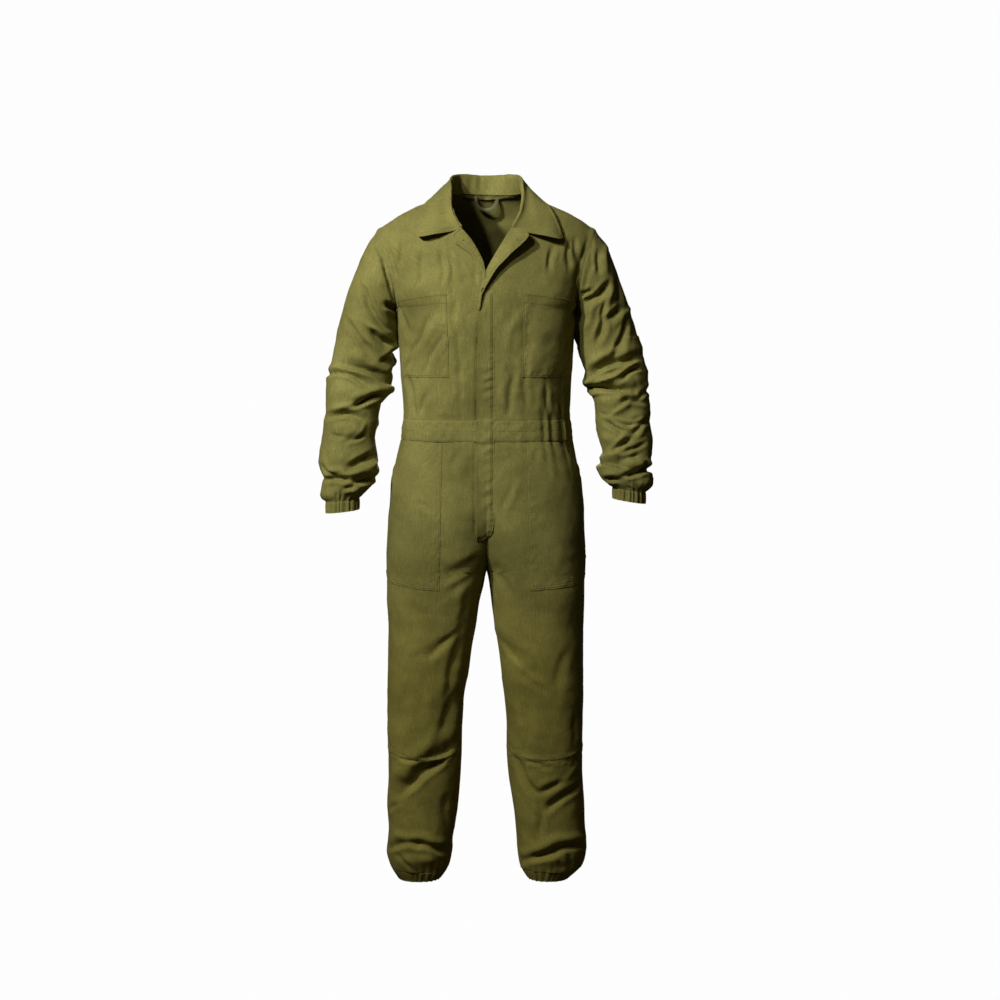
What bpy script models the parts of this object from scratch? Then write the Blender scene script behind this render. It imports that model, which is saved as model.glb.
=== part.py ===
"""Boiler suit: a one-piece work garment, filled out as when worn, with nobody in it.

The cloth is built the way it is cut: fronts, back, waistband, trouser fronts and backs, sleeves,
elastic cuffs and ankles, a turned collar with open lapels, a covered fly and patch pockets.
Every piece is a closed wall of cloth laid out on one of three surfaces (torso, leg, sleeve) that
are worked out from short tables of sizes. Pieces meet at seams with a small gap between them.

Frame: +Z up, the wearer faces -Y and +X is the wearer's left. The origin is midway between the
two shoulder seams, where the wearer's shoulders carry the garment. Sizes below are millimetres.
"""

import bpy
import numpy as np

METRES = 0.001


def table(columns, *rows):
    """A table of sizes as one array for each named column."""
    return dict(zip(columns.split(), np.array(rows, float).T))


# ---------------------------------------------------------------- driving sizes, in millimetres
CLOTH = 1.6          # wall of one layer of drill with its seam allowances
DOUBLE_CLOTH = 2.2   # waistband, cuffs, hems and collar are two layers
TAPE = 1.1           # band and loop inside the neck
SEAM_GAP = 0.3       # space between pieces that are sewn together
LAYER_GAP = 0.4      # space between a patch and the panel under it
SIDES = {"right": -1, "left": 1}
SQUARENESS = 2.3     # exponent of the rounded sections: 2 is an ellipse, more is squarer

WAIST_TOP = -449
WAIST_BOTTOM = -497
ARMPIT_X, ARMPIT_Z = 196, -208
SHOULDER_TIP_X, SHOULDER_TIP_Z = 241, -34
SHOULDER_CREST = 67  # height that the shoulder seams would reach over the neck's middle
ARMHOLE_FRONT = 62   # reach of the armhole forwards and backwards of its lowest point
ARMHOLE_BACK = 66
NECK_SHARE = 0.3195  # where the shoulder seam meets the neck, as a share of its width
NECK_SEAM_Z = 42.7
KNEE_SEAM = -1185
CROTCH = -787
ANKLE_TOP = -1456
ANKLE_BOTTOM = -1481

FLY_HALF_WIDTH = 18.5
FLY_BOTTOM = -708
HIP_POCKET_BOTTOM = -815
CUFF_DROP = 25
CUFF_WAVES, CUFF_WAVE_HEIGHT = 16, 2.2
ANKLE_WAVES, ANKLE_WAVE_HEIGHT = 18, 2.6
WAIST_WAVES = {"back": 24, "left": 7, "right": 4}
WAIST_WAVE_HEIGHT = {"back": 2.4, "left": 2.6, "right": 1.6}
SAMPLES_PER_WAVE = 3

# Materials: a name, and a colour as linear shares of red, green and blue.
DRILL = ("olive cotton drill", (0.155, 0.150, 0.043))
LOOP_TAPE = ("light olive cotton tape", (0.26, 0.25, 0.11))
BUTTON_PLASTIC = ("dark green plastic", (0.045, 0.045, 0.025))
SHARP_EDGE = 50      # degrees between faces over which an edge is shown sharp

TORSO = table(
    "z half_width front back",
    (-500, 187, 119, 130),
    (-449, 181, 118, 127),
    (-374, 185, 124, 131),
    (-321, 188, 128, 134),
    (-278, 191, 130, 136),
    (-208, 196, 130, 138),
)

# Each leg reaches from inner to outer, measured from the middle plane. Above the crotch the inner
# reach is negative: the two legs' sections run into each other and are cut at the middle plane.
LEG = table(
    "z outer_right inner_right outer_left inner_left front back middle",
    (-1481, 199, 104, 184, 92, 50, 50, 18),
    (-1456, 214, 88, 211, 78, 62, 62, 18),
    (-1421, 224, 79, 223, 70, 73, 72, 18),
    (-1394, 221, 78, 223, 68, 76, 76, 17),
    (-1366, 219, 73, 220, 66, 76, 78, 16),
    (-1312, 222, 65, 218, 60, 77, 81, 14),
    (-1257, 219, 60, 213, 51, 79, 83, 11),
    (-1203, 219, 57, 213, 46, 82, 84, 8),
    (-1121, 220, 55, 213, 45, 86, 87, 5),
    (-1067, 220, 52, 214, 40, 88, 90, 4),
    (-1013, 219, 41, 214, 34, 91, 94, 3),
    (-959, 218, 34, 214, 27, 94, 98, 3),
    (-906, 217, 24, 214, 19, 98, 103, 3),
    (-852, 220, 16, 216, 11, 103, 110, 3),
    (-825, 220, 9, 216, 8, 106, 114, 3),
    (-787, 219, 0.8, 216, 0.8, 110, 120, 3),
    (-740, 217, -24, 215, -24, 117, 131, 2),
    (-690, 214, -62, 212, -62, 121, 141, 1),
    (-638, 209, -106, 209, -106, 122, 148, 0),
    (-585, 206, -144, 205, -144, 122, 147, 0),
    (-532, 196, -175, 195, -175, 121, 138, 0),
    (-497, 187, -187, 187, -187, 119, 130, 0),
)

# Rings from the armhole to the cuff seam: the point over the arm, the point under it, half the
# depth, and how far forward the arm hangs.
SLEEVE = table(
    "ring outer_x outer_z inner_x inner_z half_depth forward",
    (0, 241, -34, 196, -208, 64, -2),
    (1, 257, -62, 199, -214, 66, -3),
    (2, 270, -90, 201, -223, 67, -4),
    (3, 282, -120, 201, -236, 66, -5),
    (4, 296, -157, 200, -254, 65, -6),
    (5, 311, -200, 200, -277, 64, -7),
    (6, 325, -250, 201, -306, 63, -8),
    (7, 336, -300, 205, -337, 62, -7),
    (8, 346, -348, 212, -368, 62, -4),
    (9, 353, -396, 221, -408, 61, 2),
    (10, 357, -440, 236, -448, 60, 9),
    (11, 361, -484, 243, -488, 59, 18),
    (12, 366, -528, 243, -530, 58, 27),
    (13, 367, -570, 242, -570, 57, 36),
    (14, 364, -602, 256, -600, 52, 43),
    (15, 357, -626, 279, -623, 40, 48),
)
LAST_RING = 15
ELBOW_RING = 7
LEFT_SLEEVE_PUSHED_UP = 22   # the left cuff sits higher, with its cloth bunched above it

# Distance from the middle of the fronts' free edge: the line on which each lapel rolls, then the
# collar seam from the gorge up to the shoulder seam.
NECKLINE = table(
    "z right left",
    (-420, 0, 0),
    (-160, 0, 0),
    (-134, 2, 2),
    (-100, 15, 19),
    (-66, 35, 40),
    (-38, 58, 58),
    (-12, 73, 73),
    (16, 78, 78),
    (43, 77, 77),
    (90, 77, 77),
)
FLY_EDGE = table("z x", (-240, -18.5), (-215, -17), (-193, -12), (-165, -6))

# Collar, by its place t from the centre back (0) to the gorge (1): how far the top of its fold lies
# from the neck seam, towards the neck and off the body, then the edge of the leaf, as a share of the
# way out to the armhole, a height over the shoulder, where 1 is the shoulder seam, and how far the
# leaf stands off the body.
GORGE_ROW = 13
BREAK_ROW = 10
COLLAR_FOLD = 1.3    # inner radius of the fold
COLLAR_BOW = 5       # how far the fall bows out between the fold and the leaf's edge
COLLAR_SEAM_GAP = 0.6
COLLAR_TOP = table(
    "t inwards off",
    (0, 22, 35),
    (0.1, 21, 36),
    (0.22, 18, 37),
    (0.32, 16, 36),
    (0.44, 12.5, 32),
    (0.55, 8, 25),
    (0.65, 5.5, 17.5),
    (0.75, 4, 11.5),
    (0.87, 3.2, 7.5),
    (1, 2.6, 5),
)
COLLAR_EDGE = table(
    "t share_right share_left height lift",
    (0, 0, 0, 1.27, 5),
    (0.15, 0.16, 0.16, 1.26, 5),
    (0.3, 0.34, 0.34, 1.19, 5),
    (0.46, 0.5, 0.5, 1.02, 6),
    (0.62, 0.545, 0.555, 0.9, 7),
    (0.8, 0.57, 0.6, 0.78, 8),
    (1, 0.59, 0.665, 0.605, 11),
)

# Lapels, from the gorge (t 0) to the break (1): the free edge and how far it stands off the front.
LAPEL_FOLD = 1.5
LAPELS = dict(
    right=table(
        "t edge_x edge_z lift",
        (0, -75, -60, 9),
        (0.33, -62, -78, 10),
        (0.67, -40, -104, 8),
        (0.85, -24, -126, 6),
        (1, -12, -144, 4),
    ),
    left=table(
        "t edge_x edge_z lift",
        (0, 78, -50, 10),
        (0.3, 75, -70, 11),
        (0.6, 45, -103, 9),
        (0.82, 20, -141, 7),
        (1, 4, -174, 5),
    ),
)
BUTTON_RADIUS, BUTTON_THICK, BUTTON_GAP = 6.5, 2.4, 1.95
LOOP_WIDE, LOOP_THICK, LOOP_DROP, LOOP_STEPS = 6, 1.4, 26, 12

# Folds: from (degrees round, height or millimetres along) to the same, bow to one side, height (a
# trough is negative), half width. Degrees run from the outer side over the front, and on the torso
# from the middle of the front to the side.
FOLDS = dict(
    torso_right=[
        (30, -340, 36, -446, 4, -4, 14),
        (60, -360, 54, -446, -4, 4, 16),
        (84, -60, 78, -170, 4, -4, 13),
    ],
    torso_left=[
        (44, -350, 48, -446, 4, -5, 13),
        (83, -50, 80, -160, -4, -6, 13),
        (70, -260, 62, -350, 5, -4, 16),
    ],
    torso_back=[
        (118, -300, 150, -446, 8, -5, 18),
        (242, -300, 212, -446, -8, -5, 18),
        (180, -330, 178, -446, 4, 5, 20),
        (105, -150, 125, -290, 6, -5, 18),
        (255, -150, 235, -290, -6, -5, 18),
    ],
    sleeve_right=[
        (20, 350, 165, 385, 8, -9, 14),
        (-10, 378, 120, 392, -8, 8, 16),
        (175, 352, 230, 330, 0, 9, 18),
        (60, 402, 190, 418, -10, 8, 15),
        (130, 438, 215, 424, 6, -9, 14),
        (10, 470, 120, 482, -10, -8, 15),
        (200, 470, 330, 500, 10, 8, 16),
        (15, 560, 150, 540, 8, -8, 16),
        (200, 400, 340, 372, 8, -8, 16),
    ],
    sleeve_left=[
        (160, 350, 15, 335, 8, -10, 15),
        (170, 376, 20, 364, -8, 9, 16),
        (185, 400, 60, 404, 6, -8, 14),
        (150, 436, 20, 456, -10, 8, 18),
        (120, 480, 15, 462, 8, -8, 14),
        (165, 545, 40, 520, -6, -7, 15),
        (200, 350, 330, 378, 8, -8, 16),
        (200, 450, 335, 476, -8, 8, 17),
        (100, 240, 60, 190, 6, -6, 17),
    ],
    leg_right=[
        (35, -1280, 150, -1190, 14, -9, 20),
        (20, -1310, 120, -1255, -12, 6, 22),
        (15, -1398, 160, -1404, -12, -8, 15),
        (120, -1000, 165, -1120, 10, -6, 26),
        (200, -1180, 330, -1215, 10, -9, 20),
        (200, -1400, 345, -1394, 12, -8, 15),
        (200, -850, 300, -880, -14, -6, 26),
    ],
    leg_left=[
        (85, -1300, 10, -1240, 10, -8, 20),
        (160, -1200, 70, -1400, -12, 5, 26),
        (165, -1404, 20, -1390, 12, -8, 15),
        (35, -1010, 20, -1120, -8, -6, 24),
        (200, -1220, 330, -1182, -10, -9, 20),
        (200, -1392, 345, -1400, -12, -8, 15),
        (205, -885, 310, -850, 14, -6, 26),
    ],
)
FOLD_RADIUS = {"torso": 165, "leg": 85, "sleeve": 62}

# Rows and columns of the panels. Levels of the torso: 0 waist seam, 1 armpit, 2 shoulder seam.
ARM_STEPS = 10
CHEST_POCKET_ROWS = (3, 9)
NECK_BAND_LEVEL = 1.94
TORSO_LEVELS = [0, 0.13, 0.26, 0.3817, 0.54, 0.7, 0.85] + [1 + k / ARM_STEPS for k in range(ARM_STEPS + 1)]
ARMPIT_ROW = 7
BACK_SHARES = [0, 0.11, 0.22, 0.28, NECK_SHARE, 0.44, 0.57, 0.7, 0.85, 1]
CHEST_POCKET = table("z right left", (-500, 77, 76), (-357, 79, 77), (-182, 86, 81), (40, 98, 96))
CHEST_POCKET_OUTER = 72
LEG_ROWS = [-497, -526, -555, -585, -620, -660, FLY_BOTTOM, -745, CROTCH, HIP_POCKET_BOTTOM,
            -860, -910, -965, -1020, -1070, -1115, -1150, KNEE_SEAM]
SHIN_ROWS = [KNEE_SEAM, -1210, -1235, -1260, -1286, -1315, -1345, -1370, -1388, -1404, -1420, -1438, ANKLE_TOP]
LEG_BACK_ROWS = [-497, -540, -585, -635, -690, -740, CROTCH, -830, -862, -905, -965, -1030, -1090, -1140,
                 -1172, -1195, -1220, -1255, -1300, -1345, -1376, -1396, -1416, -1436, ANKLE_TOP]
SLEEVE_ROWS = [0, 0.8, 1.7, 2.7, 3.8, 5, 6, 7, 7.7, 8.3, 8.9, 9.5, 10.1, 10.7, 11.4, 12.1, 12.8, 13.5, 14.2, 15]
SLEEVE_ANGLES = np.arange(2 * ARM_STEPS) * 180 / ARM_STEPS
HIP_MOUTH_CELLS = 3
HIP_POCKET_CELLS = 6


# ---------------------------------------------------------------- curves
def through(sizes, column, at, key="z"):
    """Smooth curve through a table's points: cubic pieces, with slopes read from the neighbours."""
    places, values = sizes[key], sizes[column]
    slopes = np.gradient(values, places)
    at = np.clip(np.asarray(at, float), places[0], places[-1])
    k = np.clip(np.searchsorted(places, at) - 1, 0, len(places) - 2)
    step = places[k + 1] - places[k]
    t = (at - places[k]) / step
    return (
        (1 + 2 * t) * (1 - t) ** 2 * values[k]
        + t * (1 - t) ** 2 * step * slopes[k]
        + t**2 * (3 - 2 * t) * values[k + 1]
        + t**2 * (t - 1) * step * slopes[k + 1]
    )


def rounded(angle):
    """Sine and cosine pushed out towards a square: the points of a superellipse."""
    s, c = np.sin(np.radians(angle)), np.cos(np.radians(angle))
    reach = (np.abs(s) ** SQUARENESS + np.abs(c) ** SQUARENESS) ** (-1 / SQUARENESS)
    return s * reach, c * reach


def eased(t):
    t = np.clip(t, 0, 1)
    return t * t * (3 - 2 * t)


def unit(vectors):
    return vectors / np.maximum(np.linalg.norm(vectors, axis=-1, keepdims=True), 1e-9)


def xyz(x, y, z):
    return np.stack(np.broadcast_arrays(x, y, z), axis=-1)


def folds_at(around, along, radius, folds):
    """Height of the folds at points of a tube. Each is a bowed line: its height falls off as a bell
    across the line and fades out towards both ends."""
    height = np.zeros(np.broadcast(around, along).shape)
    for start, start_along, end, end_along, bow, top, width in folds:
        middle = (start + end) / 2
        turn = (around - middle + 180) % 360 - 180 + middle - start
        dx, dy = np.radians(turn) * radius, along - start_along
        line_x, line_y = np.radians(end - start) * radius, end_along - start_along
        length = np.hypot(line_x, line_y)
        t = (dx * line_x + dy * line_y) / length**2
        across = (dx * line_y - dy * line_x) / length - bow * 4 * t * (1 - t)
        fade = np.clip(1.3 * np.sin(np.pi * np.clip(t, 0, 1)), 0, 1)
        height += top * fade * np.exp(-((across / width) ** 2))
    return height


# ---------------------------------------------------------------- the three surfaces
# Each is worked out on the wearer's left, where x is positive, and mirrored for the right.
def torso(angle, level):
    """Point on half of the torso. Angle 0 is the centre front, 90 the side and 180 the centre back.
    Above level 1 a row runs from the middle to the edge of the armhole."""
    angle, level = np.broadcast_arrays(np.asarray(angle, float), np.asarray(level, float))
    is_back = angle > 90
    share = np.where(is_back, 180 - angle, angle) / 90
    across, forward = rounded(share * 90)

    z_low = WAIST_TOP + (ARMPIT_Z - WAIST_TOP) * level
    depth = np.where(is_back, through(TORSO, "back", z_low), through(TORSO, "front", z_low))
    x_low = through(TORSO, "half_width", z_low) * across
    y_low = depth * forward

    turn = np.pi * np.clip(level - 1, 0, 1)
    rise = (1 - np.cos(turn)) / 2
    arm_x = ARMPIT_X + (SHOULDER_TIP_X - ARMPIT_X) * rise**1.6
    arm_y = np.where(is_back, ARMHOLE_BACK, ARMHOLE_FRONT) * np.sin(turn)
    arm_z = ARMPIT_Z + (SHOULDER_TIP_Z - ARMPIT_Z) * rise
    chest = np.where(is_back, TORSO["back"][-1], TORSO["front"][-1])
    middle_y = chest * np.clip(1 - rise**2.4, 0, 1) ** (1 / 2.4)
    middle_z = ARMPIT_Z + (SHOULDER_CREST - ARMPIT_Z) * rise
    even = eased(rise / 0.5)
    x_high = arm_x * ((1 - even) * across + even * share)
    y_high = arm_y + (middle_y - arm_y) * ((1 - even) * forward + even * (1 - share**2.2))
    z_high = middle_z + (arm_z - middle_z) * share**1.25

    high = level > 1
    y = np.where(high, y_high, y_low)
    return xyz(np.where(high, x_high, x_low), np.where(is_back, y, -y), np.where(high, z_high, z_low))


def leg(side, angle, z):
    """Point on a leg and its half of the pelvis. Angle 0 is the side seam, 90 the front, 180 the
    inside of the leg and 270 the back."""
    angle, z = np.broadcast_arrays(np.asarray(angle, float), np.asarray(z, float))
    outer, inner = through(LEG, f"outer_{side}", z), through(LEG, f"inner_{side}", z)
    forward, outward = rounded(angle)
    depth = np.where(forward > 0, through(LEG, "front", z), through(LEG, "back", z))
    x = (outer + inner) / 2 + (outer - inner) / 2 * outward
    return xyz(x, through(LEG, "middle", z) - depth * forward, z)


def sleeve(side, angle, ring):
    """Point on a sleeve. Angle 0 runs over the arm, 90 along its front and 180 under it. Ring 0 is
    the armhole, 15 the cuff seam and 16 the end of the cuff."""
    angle, ring = np.broadcast_arrays(np.asarray(angle, float), np.asarray(ring, float))
    on_arm = np.minimum(ring, LAST_RING)
    outer_x, outer_z, inner_x, inner_z, half_depth, ahead = (
        through(SLEEVE, name, on_arm, key="ring")
        for name in ("outer_x", "outer_z", "inner_x", "inner_z", "half_depth", "forward")
    )
    pushed = LEFT_SLEEVE_PUSHED_UP if side == "left" else 0
    lift = pushed * np.clip((on_arm - ELBOW_RING) / (LAST_RING - ELBOW_RING), 0, 1)
    drop = CUFF_DROP * (ring - on_arm) - lift
    front, out = rounded(angle)
    x = (outer_x + inner_x) / 2 + (outer_x - inner_x) / 2 * out
    z = (outer_z + inner_z) / 2 + (outer_z - inner_z) / 2 * out - drop
    points = xyz(x, -ahead - half_depth * front, z)
    # Over the first rings the armhole's own curve passes into the sleeve's.
    start = {name: SLEEVE[name][0] for name in SLEEVE}
    first = xyz(
        (start["outer_x"] + start["inner_x"]) / 2 + (start["outer_x"] - start["inner_x"]) / 2 * out,
        -start["forward"] - start["half_depth"] * front,
        (start["outer_z"] + start["inner_z"]) / 2 + (start["outer_z"] - start["inner_z"]) / 2 * out,
    )
    hold = np.clip(1 - ring / 3, 0, 1) ** 2
    return points + (torso(*armhole_place(angle)) - first) * hold[..., None]


def armhole_place(angle):
    """The torso's angle and level at the armhole's edge, for an angle of the sleeve."""
    angle = np.asarray(angle, float) % 360
    behind = angle > 180
    return np.where(behind, 90.0001, 90.0), 2 - np.where(behind, 360 - angle, angle) / 180 * 0.99999


def outward(surface, u, v, u_limits, v_limits, steps=(0.2, 0.004)):
    """Unit normals of a surface from its slopes both ways, taken inside its limits."""
    u, v = np.broadcast_arrays(np.asarray(u, float), np.asarray(v, float))
    u0, u1 = np.clip(u - steps[0], *u_limits), np.clip(u + steps[0], *u_limits)
    v0, v1 = np.clip(v - steps[1], *v_limits), np.clip(v + steps[1], *v_limits)
    return unit(np.cross(surface(u1, v) - surface(u0, v), surface(u, v1) - surface(u, v0)))


def torso_skin(panel, angle, level):
    """Points and normals of the torso with its folds. The panel is right, left or back. On a front
    the angle runs from 0 to 90, and on the back from 90 at the left side to 270 at the right."""
    angle, level = np.broadcast_arrays(np.asarray(angle, float), np.asarray(level, float))
    if panel == "back":
        half, limits = np.where(angle > 180, 360 - angle, angle), (90.001, 180)
        side = np.where(angle > 180, -1, 1)
    else:
        half, limits = angle, (0, 90)
        side = np.full(angle.shape, SIDES[panel])
    points, normals = torso(half, level), outward(torso, half, level, limits, (-0.3, 2))
    height = folds_at(angle, points[..., 2], FOLD_RADIUS["torso"], FOLDS[f"torso_{panel}"])
    height *= np.clip(np.abs(half - 90) / 10, 0, 1)
    points = points + normals * height[..., None]
    mirror = xyz(side, 1, 1)
    return points * mirror, normals * mirror


def leg_skin(side, angle, z):
    """Points and outward normals of a leg with its folds."""
    def surface(at, level):
        return leg(side, at, level)

    points = surface(angle, z)
    normals = -outward(surface, angle, z, (-90, 360), (ANKLE_BOTTOM, WAIST_BOTTOM), (0.2, 0.5))
    height = folds_at(angle, z, FOLD_RADIUS["leg"], FOLDS[f"leg_{side}"])
    mirror = np.array([SIDES[side], 1, 1])
    return (points + normals * height[..., None]) * mirror, normals * mirror


def sleeve_skin(side, angle, ring):
    """Points and outward normals of a sleeve with its folds."""
    def surface(at, place):
        return sleeve(side, at, place)

    points = surface(angle, ring)
    normals = outward(surface, angle, ring, (-360, 720), (0, LAST_RING + 1), (0.2, 0.02))
    along = np.interp(ring, SLEEVE["ring"], sleeve_lengths())
    height = folds_at(angle, along, FOLD_RADIUS["sleeve"], FOLDS[f"sleeve_{side}"])
    mirror = np.array([SIDES[side], 1, 1])
    return (points + normals * height[..., None]) * mirror, normals * mirror


def sleeve_lengths():
    """Distance from the armhole to each ring, measured over the middle of the sleeve."""
    middle = xyz(
        (SLEEVE["outer_x"] + SLEEVE["inner_x"]) / 2,
        0,
        (SLEEVE["outer_z"] + SLEEVE["inner_z"]) / 2,
    )
    steps = np.linalg.norm(np.diff(middle, axis=0), axis=1)
    return np.concatenate([[0], np.cumsum(steps)])


# ---------------------------------------------------------------- walls of cloth
def wall(points, normals, thickness, lift=0.0):
    """The outer and inner faces of a wall of cloth whose outer face lies on the surface, or whose
    inner face lies a little above it if it has a lift."""
    outer = points + normals * (lift + (thickness if lift else 0))
    return outer, outer - normals * thickness


def draw_in(outer, inner, *edges, gap=SEAM_GAP / 2):
    """Shortens a wall at the named edges of its grid, to leave half of the seam's gap."""
    for edge in edges:
        end, before = {
            "first_row": (np.s_[0], np.s_[1]),
            "last_row": (np.s_[-1], np.s_[-2]),
            "first_column": (np.s_[:, 0], np.s_[:, 1]),
            "last_column": (np.s_[:, -1], np.s_[:, -2]),
        }[edge]
        step = unit(outer[before] - outer[end]) * gap
        outer[end] += step
        inner[end] += step


def cell_triangles(rows, columns, closed=False, keep=None, halved=(), crossed=()):
    """Triangles of a grid of points, two to a cell, all parted along the same diagonal. Keep says
    which cells there are, of a halved cell only the far triangle is left, and the cells of a
    crossed column are parted along the other diagonal."""
    across = columns if closed else columns - 1
    row, column = np.meshgrid(np.arange(rows - 1), np.arange(across), indexing="ij")
    keep = np.ones(row.shape, bool) if keep is None else keep
    half = np.zeros(row.shape, bool)
    for place in halved:
        half[place] = True
    near, right = row * columns + column, row * columns + (column + 1) % columns
    below, far = near + columns, right + columns
    turned = np.isin(column, crossed)[..., None]
    first = np.where(turned, np.stack([near, right, far], -1), np.stack([near, right, below], -1))
    second = np.where(turned, np.stack([near, far, below], -1), np.stack([right, far, below], -1))
    return np.concatenate([first[keep & ~half], second[keep | half]])


def make_wall(name, outer, inner, triangles):
    """A closed wall of drill: the outer face, the inner face turned round and a rim along each free
    edge."""
    outer, inner = outer.reshape(-1, 3), inner.reshape(-1, 3)
    count = len(outer)
    a, b, c = (outer[triangles[:, k]] for k in range(3))
    out = (outer - inner)[triangles[:, 0]]
    if (np.cross(b - a, c - a) * out).sum() < 0:
        triangles = triangles[:, ::-1]
    ends = np.concatenate([triangles[:, [0, 1]], triangles[:, [1, 2]], triangles[:, [2, 0]]])
    free = ends[~np.isin(ends[:, 0] * count + ends[:, 1], ends[:, 1] * count + ends[:, 0])]
    rim = np.concatenate([
        np.stack([free[:, 1], free[:, 0], free[:, 0] + count], axis=1),
        np.stack([free[:, 1], free[:, 0] + count, free[:, 1] + count], axis=1),
    ])
    faces = np.concatenate([triangles, triangles[:, ::-1] + count, rim])
    used, faces = np.unique(faces, return_inverse=True)
    make_node(name, np.concatenate([outer, inner])[used], faces.reshape(-1, 3), DRILL)


def make_node(name, points, faces, material):
    """An object from points in millimetres and triangles that face out."""
    mesh = bpy.data.meshes.new(name)
    mesh.from_pydata((points * METRES).tolist(), [], faces.tolist())
    mesh.update()
    mesh.shade_smooth()
    mesh.set_sharp_from_angle(angle=np.radians(SHARP_EDGE))
    mesh.materials.append(shader_for(*material))
    bpy.context.collection.objects.link(bpy.data.objects.new(name, mesh))


def shader_for(name, colour):
    known = bpy.data.materials.get(name)
    if known:
        return known
    made = bpy.data.materials.new(name)
    made.use_nodes = True
    shader = made.node_tree.nodes["Principled BSDF"]
    shader.inputs["Base Color"].default_value = (*colour, 1)
    shader.inputs["Roughness"].default_value = 0.9
    return made


def waves(height, count, share):
    """Height of even gathers along a band, at shares of its length."""
    return height * np.cos(2 * np.pi * count * share)


# ---------------------------------------------------------------- armhole seam
def armhole_seam(side):
    """Where body and sleeve meet, at each angle of the sleeve: the points, the way across the seam
    into the sleeve, and the wall's shared direction and its thickness along it."""
    angles, (edge, level) = SLEEVE_ANGLES, armhole_place(SLEEVE_ANGLES)
    front, front_normals = torso_skin(side, np.minimum(edge, 90), level)
    turned = np.where(SIDES[side] < 0, 360 - edge, edge)
    back, back_normals = torso_skin("back", np.clip(turned, 90.0001, 269.9999), level)
    ahead = (angles <= 180)[:, None]
    points, body = np.where(ahead, front, back), np.where(ahead, front_normals, back_normals)
    body[angles == 0, 1] = body[angles == 180, 1] = 0
    on_arm, arm = sleeve_skin(side, angles, 0)
    down_arm, _ = sleeve_skin(side, angles, 0.3)
    along = unit(np.roll(points, -1, axis=0) - np.roll(points, 1, axis=0))
    into_arm = unit(np.cross(arm, along))
    sign = np.sign((into_arm * (down_arm - on_arm)).sum())
    across = unit(sign * (into_arm + np.cross(unit(body), along)))
    normals = unit(body) + arm
    normals = unit(normals - across * (normals * across).sum(-1, keepdims=True))
    lean = np.maximum((normals * unit(body)).sum(-1, keepdims=True), 0.5)
    return points, across, normals, CLOTH * np.minimum(1 / lean, 1.4)


def seam_faces(seam, into):
    """Outer and inner points of a wall's end at the armhole: into is 1 for a sleeve, -1 for a body."""
    points, across, normals, depth = seam
    outer = points + across * into * SEAM_GAP / 2
    return outer, outer - normals * depth


# ---------------------------------------------------------------- panels of the torso
def front_angles(side):
    """Angle of each column of a front at each level: free edge, fly edge, chest pocket, side."""
    dense = np.linspace(0, 90, 361)
    rows = []
    for level in TORSO_LEVELS:
        line = torso(dense, level)
        x, z = line[:, 0], line[:, 2]
        edge = max(np.interp(0, x - through(NECKLINE, side, z), dense), 0)
        pocket = np.interp(0, x - through(CHEST_POCKET, side, z), dense)
        fly = max(np.interp(FLY_HALF_WIDTH, x, dense), edge + 0.3 * (pocket - edge))
        outer = CHEST_POCKET_OUTER
        rows.append(np.concatenate([
            [edge, fly, (fly + pocket) / 2],
            np.linspace(pocket, outer, 5),
            [(outer + 90) / 2, 90],
        ]))
    return np.array(rows)


def front_grid(side):
    points, normals = torso_skin(side, front_angles(side), np.array(TORSO_LEVELS)[:, None])
    below_break = points[:, 0, 0] * SIDES[side] < 1
    normals[below_break, 0, 0] = 0
    normals[: ARMPIT_ROW + 1, -1, 1] = 0
    normals[-1, :, 1] = 0
    return points, unit(normals)


def make_front(side, seam):
    points, normals = front_grid(side)
    outer, inner = wall(points, normals, CLOTH)
    seam_outer, seam_inner = seam_faces(seam, -1)
    draw_in(outer, inner, "first_row", "first_column", "last_column")
    # Sleeve angles from 180, at the armpit, down to 0, at the shoulder, are this panel's rows.
    rows = np.arange(ARM_STEPS, -1, -1)
    outer[ARMPIT_ROW:, -1], inner[ARMPIT_ROW:, -1] = seam_outer[rows], seam_inner[rows]
    outer[ARMPIT_ROW, -1, 1] -= SEAM_GAP / 2
    inner[ARMPIT_ROW, -1, 1] -= SEAM_GAP / 2
    outer[-1, :, 1] -= SEAM_GAP / 2
    inner[-1, :, 1] -= SEAM_GAP / 2
    triangles = cell_triangles(*outer.shape[:2])
    make_wall(f"front_{side}", outer, inner, triangles)


def back_levels(level, share):
    """Above the armpit the back's rows bend so that the last one follows the neck seam."""
    slope = (SHOULDER_CREST - SHOULDER_TIP_Z) * np.minimum(share, NECK_SHARE) ** 1.25
    rise = (NECK_SEAM_Z - ARMPIT_Z) / (SHOULDER_CREST - ARMPIT_Z - slope)
    reach = np.where(share < NECK_SHARE, np.arccos(1 - 2 * np.clip(rise, 0, 1)) / np.pi, 1)
    return np.where(level > 1, 1 + (level - 1) * reach, level)


def back_grid():
    """The back has the fronts' rows and one more, where the band inside the neck ends."""
    shares = np.array(BACK_SHARES[::-1] + [-share for share in BACK_SHARES[1:]])
    angles = np.clip(180 - 90 * shares, 90.0001, 269.9999)
    rows = np.array(TORSO_LEVELS[:-1] + [NECK_BAND_LEVEL, TORSO_LEVELS[-1]])
    levels = back_levels(rows[:, None], np.abs(shares))
    points, normals = torso_skin("back", angles, levels)
    normals[: ARMPIT_ROW + 1, [0, -1], 1] = 0
    at_shoulder = np.abs(shares) >= NECK_SHARE
    normals[-1, at_shoulder, 1] = 0
    return points, unit(normals), at_shoulder


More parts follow.
